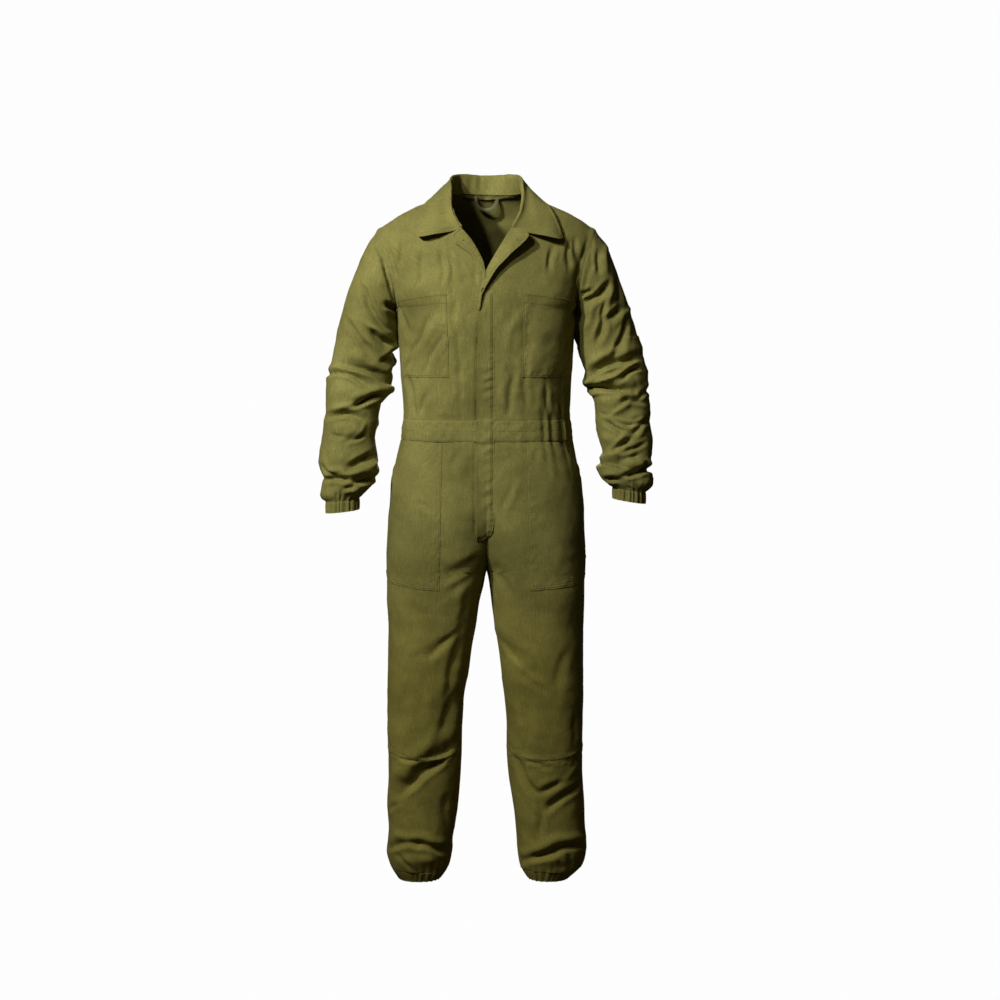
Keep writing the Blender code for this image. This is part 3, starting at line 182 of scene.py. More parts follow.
def torso(angle, level):
    """Half of the torso: angle 0 is the centre front, 90 the side, 180 the centre back. Level 0 is
    the waist seam, 1 the armpit and 2 the shoulder seam. Below the armpit each row is a squared
    ellipse. Above it the side opens into the armhole, a sine bow, and the middle closes over the
    shoulder as 1 - rise^2.4."""
    angle, level = np.broadcast_arrays(np.asarray(angle, float), np.asarray(level, float))
    is_back = angle > 90
    share = np.where(is_back, 180 - angle, angle) / 90
    across, forward = rounded(share * 90)
    z_low = WAIST_TOP + (ARMPIT_Z - WAIST_TOP) * level
    depth = np.where(is_back, through(TORSO, "back", z_low), through(TORSO, "front", z_low))
    x_low = through(TORSO, "half_width", z_low) * across
    turn = np.pi * np.clip(level - 1, 0, 1)
    rise = (1 - np.cos(turn)) / 2
    arm_x = ARMPIT_X + (SHOULDER_TIP_X - ARMPIT_X) * rise**1.6
    arm_y = np.where(is_back, ARMHOLE_BACK, ARMHOLE_FRONT) * np.sin(turn)
    arm_z = ARMPIT_Z + (SHOULDER_TIP_Z - ARMPIT_Z) * rise
    chest = np.where(is_back, TORSO["back"][-1], TORSO["front"][-1])
    middle_y = chest * np.clip(1 - rise**2.4, 0, 1) ** (1 / 2.4)
    middle_z = ARMPIT_Z + (SHOULDER_CREST - ARMPIT_Z) * rise
    even = eased(rise / 0.5)
    x_high = arm_x * ((1 - even) * across + even * share)
    y_high = arm_y + (middle_y - arm_y) * ((1 - even) * forward + even * (1 - share**2.2))
    z_high = middle_z + (arm_z - middle_z) * share**1.25
    high = level > 1
    y = np.where(high, y_high, depth * forward)
    x, z = np.where(high, x_high, x_low), np.where(high, z_high, z_low)
    points = xyz(x, np.where(is_back, y, -y), z)
    return points + off_shoulder(points)


print("centre front at the armpit's level:", torso(0, 1).round(1))

# %% The legs
KNEE_SEAM, ANKLE_TOP, ANKLE_BOTTOM = -1185, -1456, -1481
LEG = table("z outer_right inner_right outer_left inner_left front back middle", """
-1481 199 104 184 92 50 50 18
-1456 214 88 211 78 62 62 18
-1421 224 79 223 70 73 72 18
-1394 221 78 223 68 76 76 17
-1366 219 73 220 66 76 78 16
-1312 222 65 218 60 77 81 14
-1257 219 60 213 51 79 83 11
-1203 219 57 213 46 82 84 8
-1121 220 55 213 45 86 87 5
-1067 220 52 214 40 88 90 4
-1013 219 41 214 34 91 94 3
-959 218 34 214 27 94 98 3
-906 217 24 214 19 98 103 3
-852 220 16 216 11 103 110 3
-825 220 9 216 8 106 114 3
-787 219 0.8 216 0.8 110 120 3
-740 217 -24 215 -24 117 131 2
-690 214 -62 212 -62 121 141 1
-638 209 -106 209 -106 122 148 0
-585 206 -144 205 -144 122 147 0
-532 196 -175 195 -175 121 138 0
-497 187 -187 187 -187 119 130 0
""")


def leg(side, angle, z):
    """A leg and its half of the pelvis: angle 0 is the side seam, 90 the front, 180 the inside and
    270 the back. Above the crotch the two legs' sections overlap and are cut at the middle."""
    angle, z = np.broadcast_arrays(np.asarray(angle, float), np.asarray(z, float))
    outer, inner = through(LEG, f"outer_{side}", z), through(LEG, f"inner_{side}", z)
    forward, outward = rounded(angle)
    depth = np.where(forward > 0, through(LEG, "front", z), through(LEG, "back", z))
    x = (outer + inner) / 2 + (outer - inner) / 2 * outward
    return xyz(x, through(LEG, "middle", z) - depth * forward, z)


def seam_angle(side, z, toward):
    """Angle at which a leg's section meets the middle plane, at the front (1) or the back (-1)."""
    dense = np.linspace(0, 180, 721)
    found = []
    for level in np.atleast_1d(z):
        x = leg(side, dense * toward, level)[:, 0]
        found.append(180.0 if x[-1] > 0.5 else float(np.interp(0, -x, dense)))
    return np.array(found)


# %% The sleeves
SLEEVE = table("ring outer_x outer_z inner_x inner_z half_depth forward", """
0 241 -34 196 -208 64 -2
1 257 -62 199 -214 66 -3
2 270 -90 201 -223 67 -4
3 282 -120 201 -236 66 -5
4 296 -157 200 -254 65 -6
5 311 -200 200 -277 64 -7
6 325 -250 201 -306 63 -8
7 336 -300 205 -337 62 -7
8 346 -348 212 -368 62 -4
9 353 -396 221 -408 61 2
10 357 -440 236 -448 60 9
11 361 -484 243 -488 59 18
12 366 -528 243 -530 58 27
13 367 -570 242 -570 57 36
14 364 -602 256 -600 52 43
15 357 -626 279 -623 40 48
""")
LAST_RING, ELBOW_RING, CUFF_DROP, PUSHED_UP = 15, 7, 25, 22
CUFF_SET = dict(right=(-4.0, 3.6, -0.07), left=(-7.0, 4.0, -0.12))      # shift, narrowing, tilt


def armhole_place(angle):
    """The torso's angle and level at the armhole's edge, for an angle of the sleeve."""
    angle = np.asarray(angle, float) % 360
    turned = np.where(angle > 180, 360 - angle, angle)
    return np.where(angle > 180, 90.0001, 90.0), 2 - turned / 180 * 0.99999


def sleeve(side, angle, ring):
    """A sleeve: angle 0 runs over the arm, 90 along its front, 180 under it. Ring 0 is the armhole,
    15 the cuff seam, 16 the cuff's end. Over the first rings the armhole's curve passes into the
    sleeve's own."""
    angle, ring = np.broadcast_arrays(np.asarray(angle, float), np.asarray(ring, float))
    on_arm = np.minimum(ring, LAST_RING)
    outer_x, outer_z, inner_x, inner_z, half_depth, ahead = (
        through(SLEEVE, name, on_arm, key="ring") for name in list(SLEEVE)[1:]
    )
    pushed = PUSHED_UP if side == "left" else 0
    lift = pushed * np.clip((on_arm - ELBOW_RING) / (LAST_RING - ELBOW_RING), 0, 1)
    front, out = rounded(angle)
    shift, narrower, tilt = CUFF_SET[side]
    at_cuff = eased((ring - 13) / 2)
    half = (outer_x - inner_x) / 2 - narrower * at_cuff
    x = (outer_x + inner_x) / 2 + shift * at_cuff + half * out
    z = (outer_z + inner_z) / 2 + (outer_z - inner_z) / 2 * out - CUFF_DROP * (ring - on_arm) + lift
    points = xyz(x, -ahead - half_depth * front, z + tilt * at_cuff * half * out)
    _, outer_x, outer_z, inner_x, inner_z, half_depth, ahead = (SLEEVE[name][0] for name in SLEEVE)
    first = xyz(
        (outer_x + inner_x) / 2 + (outer_x - inner_x) / 2 * out,
        -ahead - half_depth * front,
        (outer_z + inner_z) / 2 + (outer_z - inner_z) / 2 * out,
    )
    hold = (np.clip(1 - ring / 3, 0, 1) ** 2)[..., None]
    points = points + (torso(*armhole_place(angle)) - first) * hold
    return points + off_shoulder(points) * (1 - hold)


print("left cuff, over the wrist:", sleeve("left", 0, LAST_RING).round(1))

# %% [markdown]
# ## Grids
# A panel is a grid of points. Its cells are about 4 mm, and closer together just inside its edges,
# where the cloth turns into a seam. Four helpers serve every panel: shares of a length for the
# rows and columns, the normals of a grid, the distances along it in millimetres, and a value
# between its points.

# %% Helpers for grids
CELL = 4.0


def shares(length, cell):
    """Even shares of a length, one cell apart, with closer ones inside both ends."""
    count = max(int(round(length / cell)), 3)
    found = np.linspace(0, 1, count + 1)
    near = np.array([1.0, 2.2]) / length
    return np.unique(np.concatenate([found[1:-1], [0, 1], near, 1 - near]))


def grid_normals(points, outward, closed=False):
    """Normals as the cross product of the slopes both ways, turned to agree with a rough guide."""
    down = np.gradient(points, axis=0)
    if closed:
        across = np.roll(points, -1, 1) - np.roll(points, 1, 1)
    else:
        across = np.gradient(points, axis=1)
    normals = unit(np.cross(across, down))
    return normals * np.sign((normals * outward).sum())


def lengths(points, axis=0, closed=False):
    """Distance along each row (axis 1), or along each column or a single line (axis 0)."""
    if closed:
        points = np.concatenate([points, points[:, :1]], axis=1)
    step = np.linalg.norm(np.diff(points, axis=axis), axis=-1)
    return np.insert(np.cumsum(step, axis=axis), 0, 0, axis=axis)


def sample(grid, rows, columns):
    """Values of a grid at fractional rows and columns, weighed from the four points around."""
    rows, columns = np.broadcast_arrays(rows, columns)
    r = np.clip(np.floor(rows).astype(int), 0, grid.shape[0] - 2)
    c = np.clip(np.floor(columns).astype(int), 0, grid.shape[1] - 2)
    a, b = rows - r, columns - c
    if grid.ndim == 3:
        a, b = a[..., None], b[..., None]
    return (
        grid[r, c] * (1 - a) * (1 - b)
        + grid[r, c + 1] * (1 - a) * b
        + grid[r + 1, c] * a * (1 - b)
        + grid[r + 1, c + 1] * a * b
    )


# %% [markdown]
# ## Folds
# Cloth that is pushed together buckles into ridges with troughs between them. A fold is a bowed
# line on the surface, and its height falls away from the line as a bell, steeper on one side than
# on the other. A trough pushes up a low shoulder on both sides. The line's own place wanders a
# little, so that no two folds look alike. Folds on the front are placed as they are seen, and
# folds on the hidden sides by their angle and height.

# %% Smooth noise and the shape of a fold
def ripple(points, size, seed, waves=18):
    """Smooth noise of about unit height: the mean of sine waves in random directions, with
    wavelengths near the size in millimetres."""
    rng = np.random.default_rng(seed)
    ways = unit(rng.normal(size=(waves, 3))) * (2 * np.pi / (size * rng.uniform(0.7, 1.5, (waves, 1))))
    phases = rng.uniform(0, 2 * np.pi, waves)
    heights = np.sin(points.reshape(-1, 3) @ ways.T + phases).sum(-1) * (1.4 / np.sqrt(waves))
    return heights.reshape(points.shape[:-1])


def crease_lines(points, size, seed):
    """Thin branching lines, such as wear leaves: high where smooth noise passes through zero."""
    return bell(ripple(points, size, seed), 0.16)


FOLD_STEPS = np.linspace(0, 1, 25)      # places along every fold's line


def bowed(x0, y0, x1, y1, bow):
    """Points of a line with a parabola's bow, downwards in the picture where the bow is positive."""
    t = FOLD_STEPS
    dx, dy = x1 - x0, y1 - y0
    out = bow * 4 * t * (1 - t) * (1 if dx >= 0 else -1) / np.hypot(dx, dy)
    return x0 + dx * t - dy * out, y0 + dy * t + dx * out


def smoothed(path, times=3, fit=np.asarray):
    """The path with each point averaged with its two neighbours, and fitted, so many times."""
    for _ in range(times):
        path[1:-1] = fit((path[:-2] + 2 * path[1:-1] + path[2:]) / 4)
    return path


def seen_line(cloud, x0, y0, x1, y1, bow):
    """Which points of a surface that faces the eye a seen line passes over, from left to right."""
    if x1 < x0:
        x0, y0, x1, y1 = x1, y1, x0, y0
    x, y = bowed(x0, y0, x1, y1, bow)
    return ((cloud[1][None] - x[:, None]) ** 2 + (cloud[2][None] - y[:, None]) ** 2).argmin(1)


def cloud_of(panel, *values):
    """The points of a panel that face the eye, their places in the picture, and their values."""
    points = panel.points.reshape(-1, 3)
    front = ((EYE - points) * panel.normals.reshape(-1, 3)).sum(-1) > 0
    return points[front], *seen(points[front]), *(value.ravel()[front] for value in values)


def seen_folds(panels, rows, kind="trough"):
    """Folds given as they are seen: each point of a fold's line goes to the nearest point that
    faces the eye. A row is x, y, x, y, bow, height and width."""
    cloud = [np.concatenate(parts) for parts in zip(*(cloud_of(panel) for panel in panels))]
    return [(smoothed(cloud[0][seen_line(cloud, *row[:5])]), *row[5:], kind) for row in rows]


def fold_shape(kind, height, wide, beside):
    """A fold's height across its line, where beside is the distance, negative on the upper side.
    A trough or ridge is exp(-s^2), narrower above. A step has a fat swell above, falls off over a
    wide flank to the line and rises steeply again, as where one swell hangs over the next."""
    if kind == "step":
        lower = min(0.32 * wide + 0.6, 5)
        flank = np.where(beside < 0, 0.95 * wide, lower)
        valley = np.exp(-(np.abs(beside / flank) ** 1.5))
        below = bell(beside - 2.1 * lower, 1.4 * lower)
        above = bell(beside + 1.9 * wide, 0.95 * wide)
        return height * (0.36 * above + min(0.3, 2.6 / wide) * below - 0.8 * valley)
    s = beside / np.where(beside > 0, wide, wide / 1.7)
    shoulders = 0.25 * bell(np.abs(s) - 1.9, 0.8) if height < 0 else 0
    return height * (np.exp(-(s**2)) - shoulders)


def fold_heights(points, normals, folds, seed=1):
    """Sum of the folds' heights at each point. Along its line a fold is fullest in the middle and
    runs out at both ends, and the line wanders by a smooth noise of 2 mm."""
    flat, way = points.reshape(-1, 3), normals.reshape(-1, 3)
    wander = np.stack([ripple(flat, 60, seed + k) for k in range(3)], -1) * 2.2
    total = np.zeros(len(flat))
    for path, height, wide, kind in folds:
        reach = 4.5 * wide
        low, high = path.min(0) - reach, path.max(0) + reach
        near = np.flatnonzero(((flat > low) & (flat < high)).all(1))
        if not len(near):
            continue
        here = flat[near] + wander[near]
        a, step = path[:-1], np.diff(path, axis=0)
        square = np.maximum((step**2).sum(-1), 1e-6)
        away = here[:, None] - a[None]
        t = np.clip((away * step).sum(-1) / square, 0, 1)
        miss = away - t[..., None] * step
        gap = np.linalg.norm(miss, axis=-1)
        k = gap.argmin(1)
        pick = np.arange(len(near))
        along = (k + t[pick, k]) / len(step)
        side = np.sign((np.cross(step[k], way[near]) * miss[pick, k]).sum(-1))
        fade = np.clip(1.25 * np.sin(np.pi * np.clip(along, 0.02, 0.98)) ** 0.8, 0, 1)
        total[near] += fade * fold_shape(kind, height, wide, gap[pick, k] * side)
    return total.reshape(points.shape[:-1])


# %% [markdown]
# ## The cloth's own pieces
# `Panel` keeps what later steps need: the grid, its normals, its flat coordinates in millimetres and
# the distance from each of its edges. `cloth_piece` turns a panel into a closed thin shell and rides
# it on the body. The outer face, the inner face and a rim along each free edge make one mesh. The
# flat coordinates go into a UV map, so that the twill follows the cut of the cloth.

# %% A panel
class Panel:
    """A grid of cloth: points, outward normals, and distances across and down it. v and u are what
    the rows and columns stand for, so that a patch can find its place on the panel."""

    def __init__(self, points, guide, v, u, closed=False):
        self.points, self.closed, self.v, self.u = points, closed, v, u
        self.normals = grid_normals(points, guide, closed)
        self.across = lengths(points, 1, closed)
        self.down = lengths(points, 0)
        if closed:
            self.down = np.concatenate([self.down, self.down[:, :1]], axis=1)

    def raised(self, height):
        """The same panel with its points moved along its normals."""
        height = np.broadcast_to(height, self.points.shape[:2])
        moved = self.points + self.normals * height[..., None]
        return Panel(moved, self.normals, self.v, self.u, self.closed)

    def from_edge(self, edge, whole=False):
        """Distance of each point from an edge: top, bottom, first (column) or last (column)."""
        found = {
            "top": self.down,
            "bottom": self.down[-1:] - self.down,
            "first": self.across,
            "last": self.across[:, -1:] - self.across,
        }[edge]
        return found if whole or not self.closed else found[:, :-1]

    def near(self, *edges):
        """Distance of each point from the nearest of the named edges."""
        return np.min([self.from_edge(edge) for edge in edges], axis=0)

    def tied(self, *edges, over=12):
        """1 inside the panel, falling to 0 at the named edges, where a seam holds the cloth."""
        held = np.ones(self.points.shape[:2])
        for edge in edges:
            held = held * eased(self.from_edge(edge) / over)
        return held

    def index(self, v, u):
        """Fractional row and column where the panel's rows and columns stand for v and u."""
        order = np.argsort(self.v)
        rows = np.interp(v, self.v[order], order.astype(float))
        return rows, np.interp(u, self.u, np.arange(len(self.u)))

    def at(self, v, u):
        """Points of the panel at v and u, and their normals."""
        place = self.index(v, u)
        return sample(self.points, *place), unit(sample(self.normals, *place))

    def area(self):
        """Area of the cloth in square metres: half the cross product of each cell's diagonals."""
        p = np.concatenate([self.points, self.points[:, :1]], 1) if self.closed else self.points
        one, two = p[1:, 1:] - p[:-1, :-1], p[1:, :-1] - p[:-1, 1:]
        return float(np.linalg.norm(np.cross(one, two), axis=-1).sum() / 2) * MM * MM


# %% From a panel to a closed shell
ONE_LAYER, TWO_LAYERS = 1.3, 2.0      # how thick the cloth is
FELLED = 2, 8.5                       # from a felled seam to its two rows of stitches
sewn = {}            # every sheet of cloth, with how it is held and what it lies on
stitched = []        # every line of stitches: the piece's name, its points, normals and a field


def mesh_object(name, points, faces, material):
    """An object from points in millimetres and faces that turn outward."""
    mesh = bpy.data.meshes.new(name)
    mesh.from_pydata((points * MM).tolist(), [], faces.tolist())
    mesh.update()
    mesh.shade_smooth()
    mesh.set_sharp_from_angle(angle=np.radians(62))
    mesh.materials.append(material)
    made = bpy.data.objects.new(name, mesh)
    bpy.context.scene.collection.objects.link(made)
    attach(made, "root")
    return made


def seam_lines(panel, edges, *gaps):
    """Fields that are 0 along lines of stitches: the distance from each edge less each gap."""
    return [panel.from_edge(edge, True) - gap for edge in edges for gap in gaps]


def tucked_under(panel, fields, edges):
    """The panel's arrays with one more row or column past each seam, 2.5 mm on and 1.3 mm in, where
    its allowance goes under the neighbour and leaves no gap."""
    points, normals, across, down = panel.points, panel.normals, panel.across, panel.down
    for edge in edges:
        axis = 0 if edge in ("top", "bottom") else 1
        at, inner, place = (0, 1, 0) if edge in ("top", "first") else (-1, -2, points.shape[axis])
        last, way = np.take(points, at, axis), np.take(normals, at, axis)
        more = last + unit(last - np.take(points, inner, axis)) * 2.5 - way * 1.3
        points, normals = np.insert(points, place, more, axis), np.insert(normals, place, way, axis)
        across, down, *fields = (
            np.insert(a, place, np.take(a, at, axis), axis) for a in (across, down, *fields)
        )
    return points, normals, across, down, fields


def cloth_piece(part, panel, rows_sewn=(), tucked=(), thickness=ONE_LAYER, held="draped", rests=(),
                creases=(), kind="cloth", material=None):
    """A closed shell from a panel, in place of a part of the model. rows_sewn and the creases hold up
    to six fields, each the distance in millimetres from a line of stitches or a sharp crease. Along
    each of these the material grooves the cloth and paints it darker, a painted shade.
    tucked names the edges that go under a seam, and held and rests say how the cloth is kept in place
    and what it lies on. rests is kept with the sheet but not used."""
    name = f"{part}_{kind}"
    drawn = [*rows_sewn, *creases]
    grid, ways, flat_across, flat_down, drawn = tucked_under(panel, drawn, tucked)
    rows, columns = grid.shape[:2]
    cells = columns if panel.closed else columns - 1
    r, c = (a.ravel() for a in np.meshgrid(np.arange(rows - 1), np.arange(cells), indexing="ij"))
    corners = np.stack([np.stack([r, r, r + 1, r + 1], -1), np.stack([c, c + 1, c + 1, c], -1)], -1)
    a, b, d = (grid[corners[:, k, 0], corners[:, k, 1] % columns] for k in (0, 1, 3))
    if (np.cross(b - a, d - a) * ways[r, c % columns]).sum() < 0:
        corners = corners[:, ::-1]
    count = rows * columns
    face = corners[..., 0] * columns + corners[..., 1] % columns
    ends = np.stack([face, np.roll(face, -1, 1)], -1).reshape(-1, 2)
    spots = np.stack([corners, np.roll(corners, -1, 1)], 2).reshape(-1, 2, 2)
    free = ~np.isin(ends[:, 0] * count + ends[:, 1], ends[:, 1] * count + ends[:, 0])
    rim, spot = ends[free], spots[free]
    rim_faces = np.stack([rim[:, 1], rim[:, 0], rim[:, 0] + count, rim[:, 1] + count], -1)
    rim_spots = spot[:, [1, 0, 0, 1]]
    made = mesh_object(
        name,
        np.concatenate([grid.reshape(-1, 3), (grid - ways * thickness).reshape(-1, 3)]),
        np.concatenate([face, face[:, ::-1] + count, rim_faces]),
        material or olive_drill,
    )
    where = np.concatenate([corners, corners[:, ::-1], rim_spots]).reshape(-1, 2)
    row, column = where[:, 0], where[:, 1]
    flat = np.stack([flat_across[row, column], flat_down[row, column]], -1) * MM
    made.data.uv_layers.new(name="cloth").data.foreach_set("uv", flat.astype(np.float32).ravel())
    fields = np.full((6, len(where)), 0.9)
    for k, field in enumerate(drawn):
        fields[k] = field[row, column] * MM
        arrays = [np.concatenate([a, a[:, :1]], 1) if panel.closed else a for a in (grid, ways)]
        if k < len(rows_sewn):
            stitched.append((name, *arrays, field))
    for label, three in (("groove_shade_a", fields[:3]), ("groove_shade_b", fields[3:])):
        layer = made.data.attributes.new(label, "FLOAT_VECTOR", "CORNER")
        layer.data.foreach_set("vector", three.T.astype(np.float32).ravel())
    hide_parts(part)
    if held:
        sewn[name] = made, panel, held, rests
    print(f"{name}: {2 * len(made.data.polygons)} triangles, {panel.area():.3f} m2")

# %% [markdown]
# ## Drill, thread and tape
# The suit is cotton drill: a strong twill with fine diagonal ribs, dyed olive and washed. It has no
# gloss, only the faint bloom of cotton fibres, which Principled's sheen gives. The dye is uneven, in
# soft clouds and in thin streaks along the warp. The colour is painted darker along lines of stitches
# and creases, as painted shade in their grooves. Below the hips it is painted a darker brown, as
# painted shade on the lower legs.
# The diagonal ribs are drawn on the flat coordinates, so that they follow each piece as it was cut.

# %% Helpers for materials
def linear(hexed):
    """An sRGB hex colour as linear red, green and blue: ((c + 0.055) / 1.055)^2.4 above 0.04045."""
    c = np.array([int(hexed[k : k + 2], 16) for k in (1, 3, 5)]) / 255
    return (*np.where(c > 0.04045, ((c + 0.055) / 1.055) ** 2.4, c / 12.92), 1.0)


def add_node(material, kind, links=None, **settings):
    """Adds one node: settings are its properties, and links fill its inputs by name or number with
    a value or with another node's output."""
    tree = material.node_tree
    node = tree.nodes.new("ShaderNode" + kind)
    for key, value in settings.items():
        setattr(node, key, value)
    for key, value in (links or {}).items():
        if isinstance(value, bpy.types.NodeSocket):
            tree.links.new(value, node.inputs[key])
        else:
            node.inputs[key].default_value = value
    return node


def maths(material, operation, a, b=0.0, clamp=False):
    """One step of arithmetic on values or on other nodes' outputs."""
    found = add_node(material, "Math", {0: a, 1: b}, operation=operation, use_clamp=clamp)
    return found.outputs[0]


def weighed(material, *parts):
    """The sum of values, each times its weight."""
    total = None
    for value, weight in parts:
        part = maths(material, "MULTIPLY", value, weight)
        total = part if total is None else maths(material, "ADD", total, part)
    return total


def noise(material, at, scale, detail=2.0):
    """Soft noise with so many swells to the metre."""
    links = {"Vector": at, "Scale": scale, "Detail": detail, "Roughness": 0.55}
    return add_node(material, "TexNoise", links).outputs["Fac"]


def mixed(material, share, one, two, blend="MIX"):
    """One colour passing into another by a share from 0 to 1."""
    mix = add_node(material, "Mix", {0: share, 6: one, 7: two}, data_type="RGBA", blend_type=blend)
    return mix.outputs[2]


def finished(material, colour, relief, distance, strength, **inputs):
    """The material with its colour, its relief as a bump and the other inputs of its shader."""
    shader = material.node_tree.nodes["Principled BSDF"]
    links = {"Height": relief, "Distance": distance, "Strength": strength}
    bump = add_node(material, "Bump", links)
    material.node_tree.links.new(colour, shader.inputs["Base Color"])
    material.node_tree.links.new(bump.outputs["Normal"], shader.inputs["Normal"])
    for key, value in {"IOR": 1.5, **inputs}.items():
        shader.inputs[key.replace("_", " ")].default_value = value
    return material


def new_material(name, colour):
    """A new material and the coordinates of the object that wears it."""
    material = bpy.data.materials.new(name)
    material.use_nodes = True
    shader = material.node_tree.nodes["Principled BSDF"]
    shader.inputs["Base Color"].default_value = linear(colour)
    return material, add_node(material, "TexCoord").outputs["Object"]


# %% Cotton drill
RIB_SCALE, WARP_STREAKS, CLOUDS, SPECKS = 0.0032 / 0.0024 * 98.0, 700.0, 9.0, 420.0


def drill(name, base, light, dark):
    """Olive drill. Ribs of real twill are 0.7 mm apart, too fine to show here, so they are drawn 2.4
    mm apart and shallow. Each line of stitches and each crease pulls a groove 2 mm wide into the
    cloth, and the colour is painted darker along it, painted shade in the groove. Below the hips the
    colour is multiplied towards a darker brown, in full from 1 m down: painted shade on the lower
    legs."""
    material, at = new_material(name, base)
    flat = add_node(material, "UVMap", uv_map="cloth").outputs["UV"]
    slanted = add_node(material, "Mapping", {"Vector": flat, "Rotation": (0, 0, np.radians(62))})
    ribs_links = {"Vector": slanted.outputs["Vector"], "Scale": RIB_SCALE}
    ribs_links.update({"Distortion": 1.2, "Detail": 2.0, "Detail Scale": 3.0})
    ribs = add_node(material, "TexWave", ribs_links, bands_direction="X").outputs["Fac"]
    drawn_out = add_node(material, "Mapping", {"Vector": flat, "Scale": (1.0, 0.05, 1.0)})
    streaks = noise(material, drawn_out.outputs["Vector"], WARP_STREAKS)
    clouds, specks = noise(material, at, CLOUDS, 4.0), noise(material, at, SPECKS)
    groove_relief_and_shade = 0.0
    for label in ("groove_shade_a", "groove_shade_b"):
        three = add_node(material, "Attribute", attribute_name=label).outputs["Vector"]
        parts = add_node(material, "SeparateXYZ", {"Vector": three})
        for axis in "XYZ":
            away = maths(material, "ABSOLUTE", parts.outputs[axis])
            away = maths(material, "MULTIPLY", away, 800.0)
            groove = maths(material, "SUBTRACT", 1.0, away, clamp=True)
            groove_relief_and_shade = maths(material, "MAXIMUM", groove_relief_and_shade, groove)
    worn = weighed(material, (clouds, 0.9), (streaks, 0.6), (specks, 0.6))
    worn = maths(material, "SUBTRACT", worn, 0.3)
    shade = add_node(material, "ValToRGB", {"Fac": worn})
    ramp = shade.color_ramp
    ramp.elements[0].position, ramp.elements[0].color = 0.55, linear(dark)
    ramp.elements[1].position, ramp.elements[1].color = 1.0, linear(light)
    ramp.elements.new(0.82).color = linear(base)
    # Painted shade: along every line of stitches and every crease the colour is mixed up to 35%
    # towards the dark tone, as shade in their grooves.
    painted_groove_shade = maths(material, "MULTIPLY", groove_relief_and_shade, 0.35)
    colour = mixed(material, painted_groove_shade, shade.outputs["Color"], linear(dark))
    # Painted shade: below the hips the colour is multiplied by a browner, darker tone, in full from 1
    # m down.
    height = add_node(material, "SeparateXYZ", {"Vector": at}).outputs["Z"]
    low = add_node(material, "MapRange", {"Value": height, "From Min": -0.7, "From Max": -1.0})
    colour = mixed(material, low.outputs[0], colour, (1.0, 0.94, 0.72, 1), "MULTIPLY")
    relief = weighed(material, (ribs, 0.12), (specks, 0.3), (streaks, 0.05), (groove_relief_and_shade, -0.5))
    return finished(
        material, colour, relief, 0.001, 0.8, Roughness=0.88, Specular_IOR_Level=0.25,
        Sheen_Weight=0.04, Sheen_Roughness=0.5, Sheen_Tint=linear("#b9b478"),
    )


olive_drill = drill("washed olive cotton drill", "#7b763c", "#8b8648", "#676330")


# %% Thread and tape
def fibre(name, colour, scale):
    """Cotton thread or tape: dull, with fine fibres that break up its light."""
    material, at = new_material(name, colour)
    fibres = noise(material, at, scale, 3.0)
    share = maths(material, "MULTIPLY", fibres, 0.3)
    tone = mixed(material, share, linear(colour), linear("#3c3a1c"))
    return finished(material, tone, fibres, 0.0004, 0.6, Roughness=0.75, Sheen_Weight=0.2)


thread = fibre("olive cotton sewing thread", "#a29c60", 900.0)
# Dark thread for the button; it also colours the buttonhole's slit, a painted shadow.
dark_thread_and_slit_shade = fibre("dark green thread and painted slit shade", "#26281b", 900.0)
tape = fibre("dark olive herringbone tape", "#6f6a45", 600.0)
print("materials:", [m.name for m in bpy.data.materials])

# %% [markdown]
# ## Fronts and back of the body
# Each front is one piece from the waist to the shoulder, with the lapel's roll as its upper inner
# edge. The back is one piece too. Folds hang from the chest and the armholes, and the elastic of
# the waistband gathers the cloth above and below it.

# %% Gathers, seams and folds that all panels share
ALL_SEAMS = ("top", "bottom", "first", "last")
# By degrees round the body: the count of gathers so far, and how strong they are.
GATHERS = table("turn count", "-180 -16; -90 -4; -20 -0.6; 0 0; 22 0.9; 90 7.4; 180 19")
PULL = table("turn share", """
-180 1; -95 1; -88 0.5; -30 0.45; -14 0; 14 0; 40 0.6; 90 1; 100 1; 180 1
""")


def waist_gathers(points, reach):
    """Gathers of the waist's elastic: cos(2 pi waves), where waves is read from a table by the
    degrees round the body, high beside the seam and gone at the given reach from it."""
    x, y, z = np.moveaxis(points, -1, 0)
    degrees = np.degrees(np.arctan2(x / WAIST_HALF_WIDTH, -y / WAIST_HALF_DEPTH))
    wobble = 0.16 * np.sin(np.radians(degrees * 7 + 40)) + 0.12 * np.sin(np.radians(degrees * 17))
    wave = np.cos(2 * np.pi * (np.interp(degrees, GATHERS["turn"], GATHERS["count"]) + wobble))
    uneven = 1 + 0.35 * np.sin(np.radians(degrees * 5 + 100)) * np.sin(np.radians(degrees * 13))
    strong = np.interp(degrees, PULL["turn"], PULL["share"])
    away = np.maximum(np.maximum(z - WAIST_TOP, WAIST_BOTTOM - z), 0)
    return 2.3 * wave * uneven * strong * np.exp(-away / reach)


def past_fly(points):
    """How far points of the right half are past the fly's free edge, and their heights."""
    x, _, z = np.moveaxis(points, -1, 0)
    return -x - np.interp(z, (-690, -450, -290, -262, -222), (22.5, 20.5, 18.5, 16.5, 9)), z


def beside_fly(side, points):
    """The hollow in the right half that the fly's free edge lies beside, 3.2 mm deep."""
    away, z = past_fly(points)
    ends = eased((z + 700) / 15) * eased((-215 - z) / 20)
    return (side == "right") * 3.2 * bell(away - 1.5, 3.2) * ends


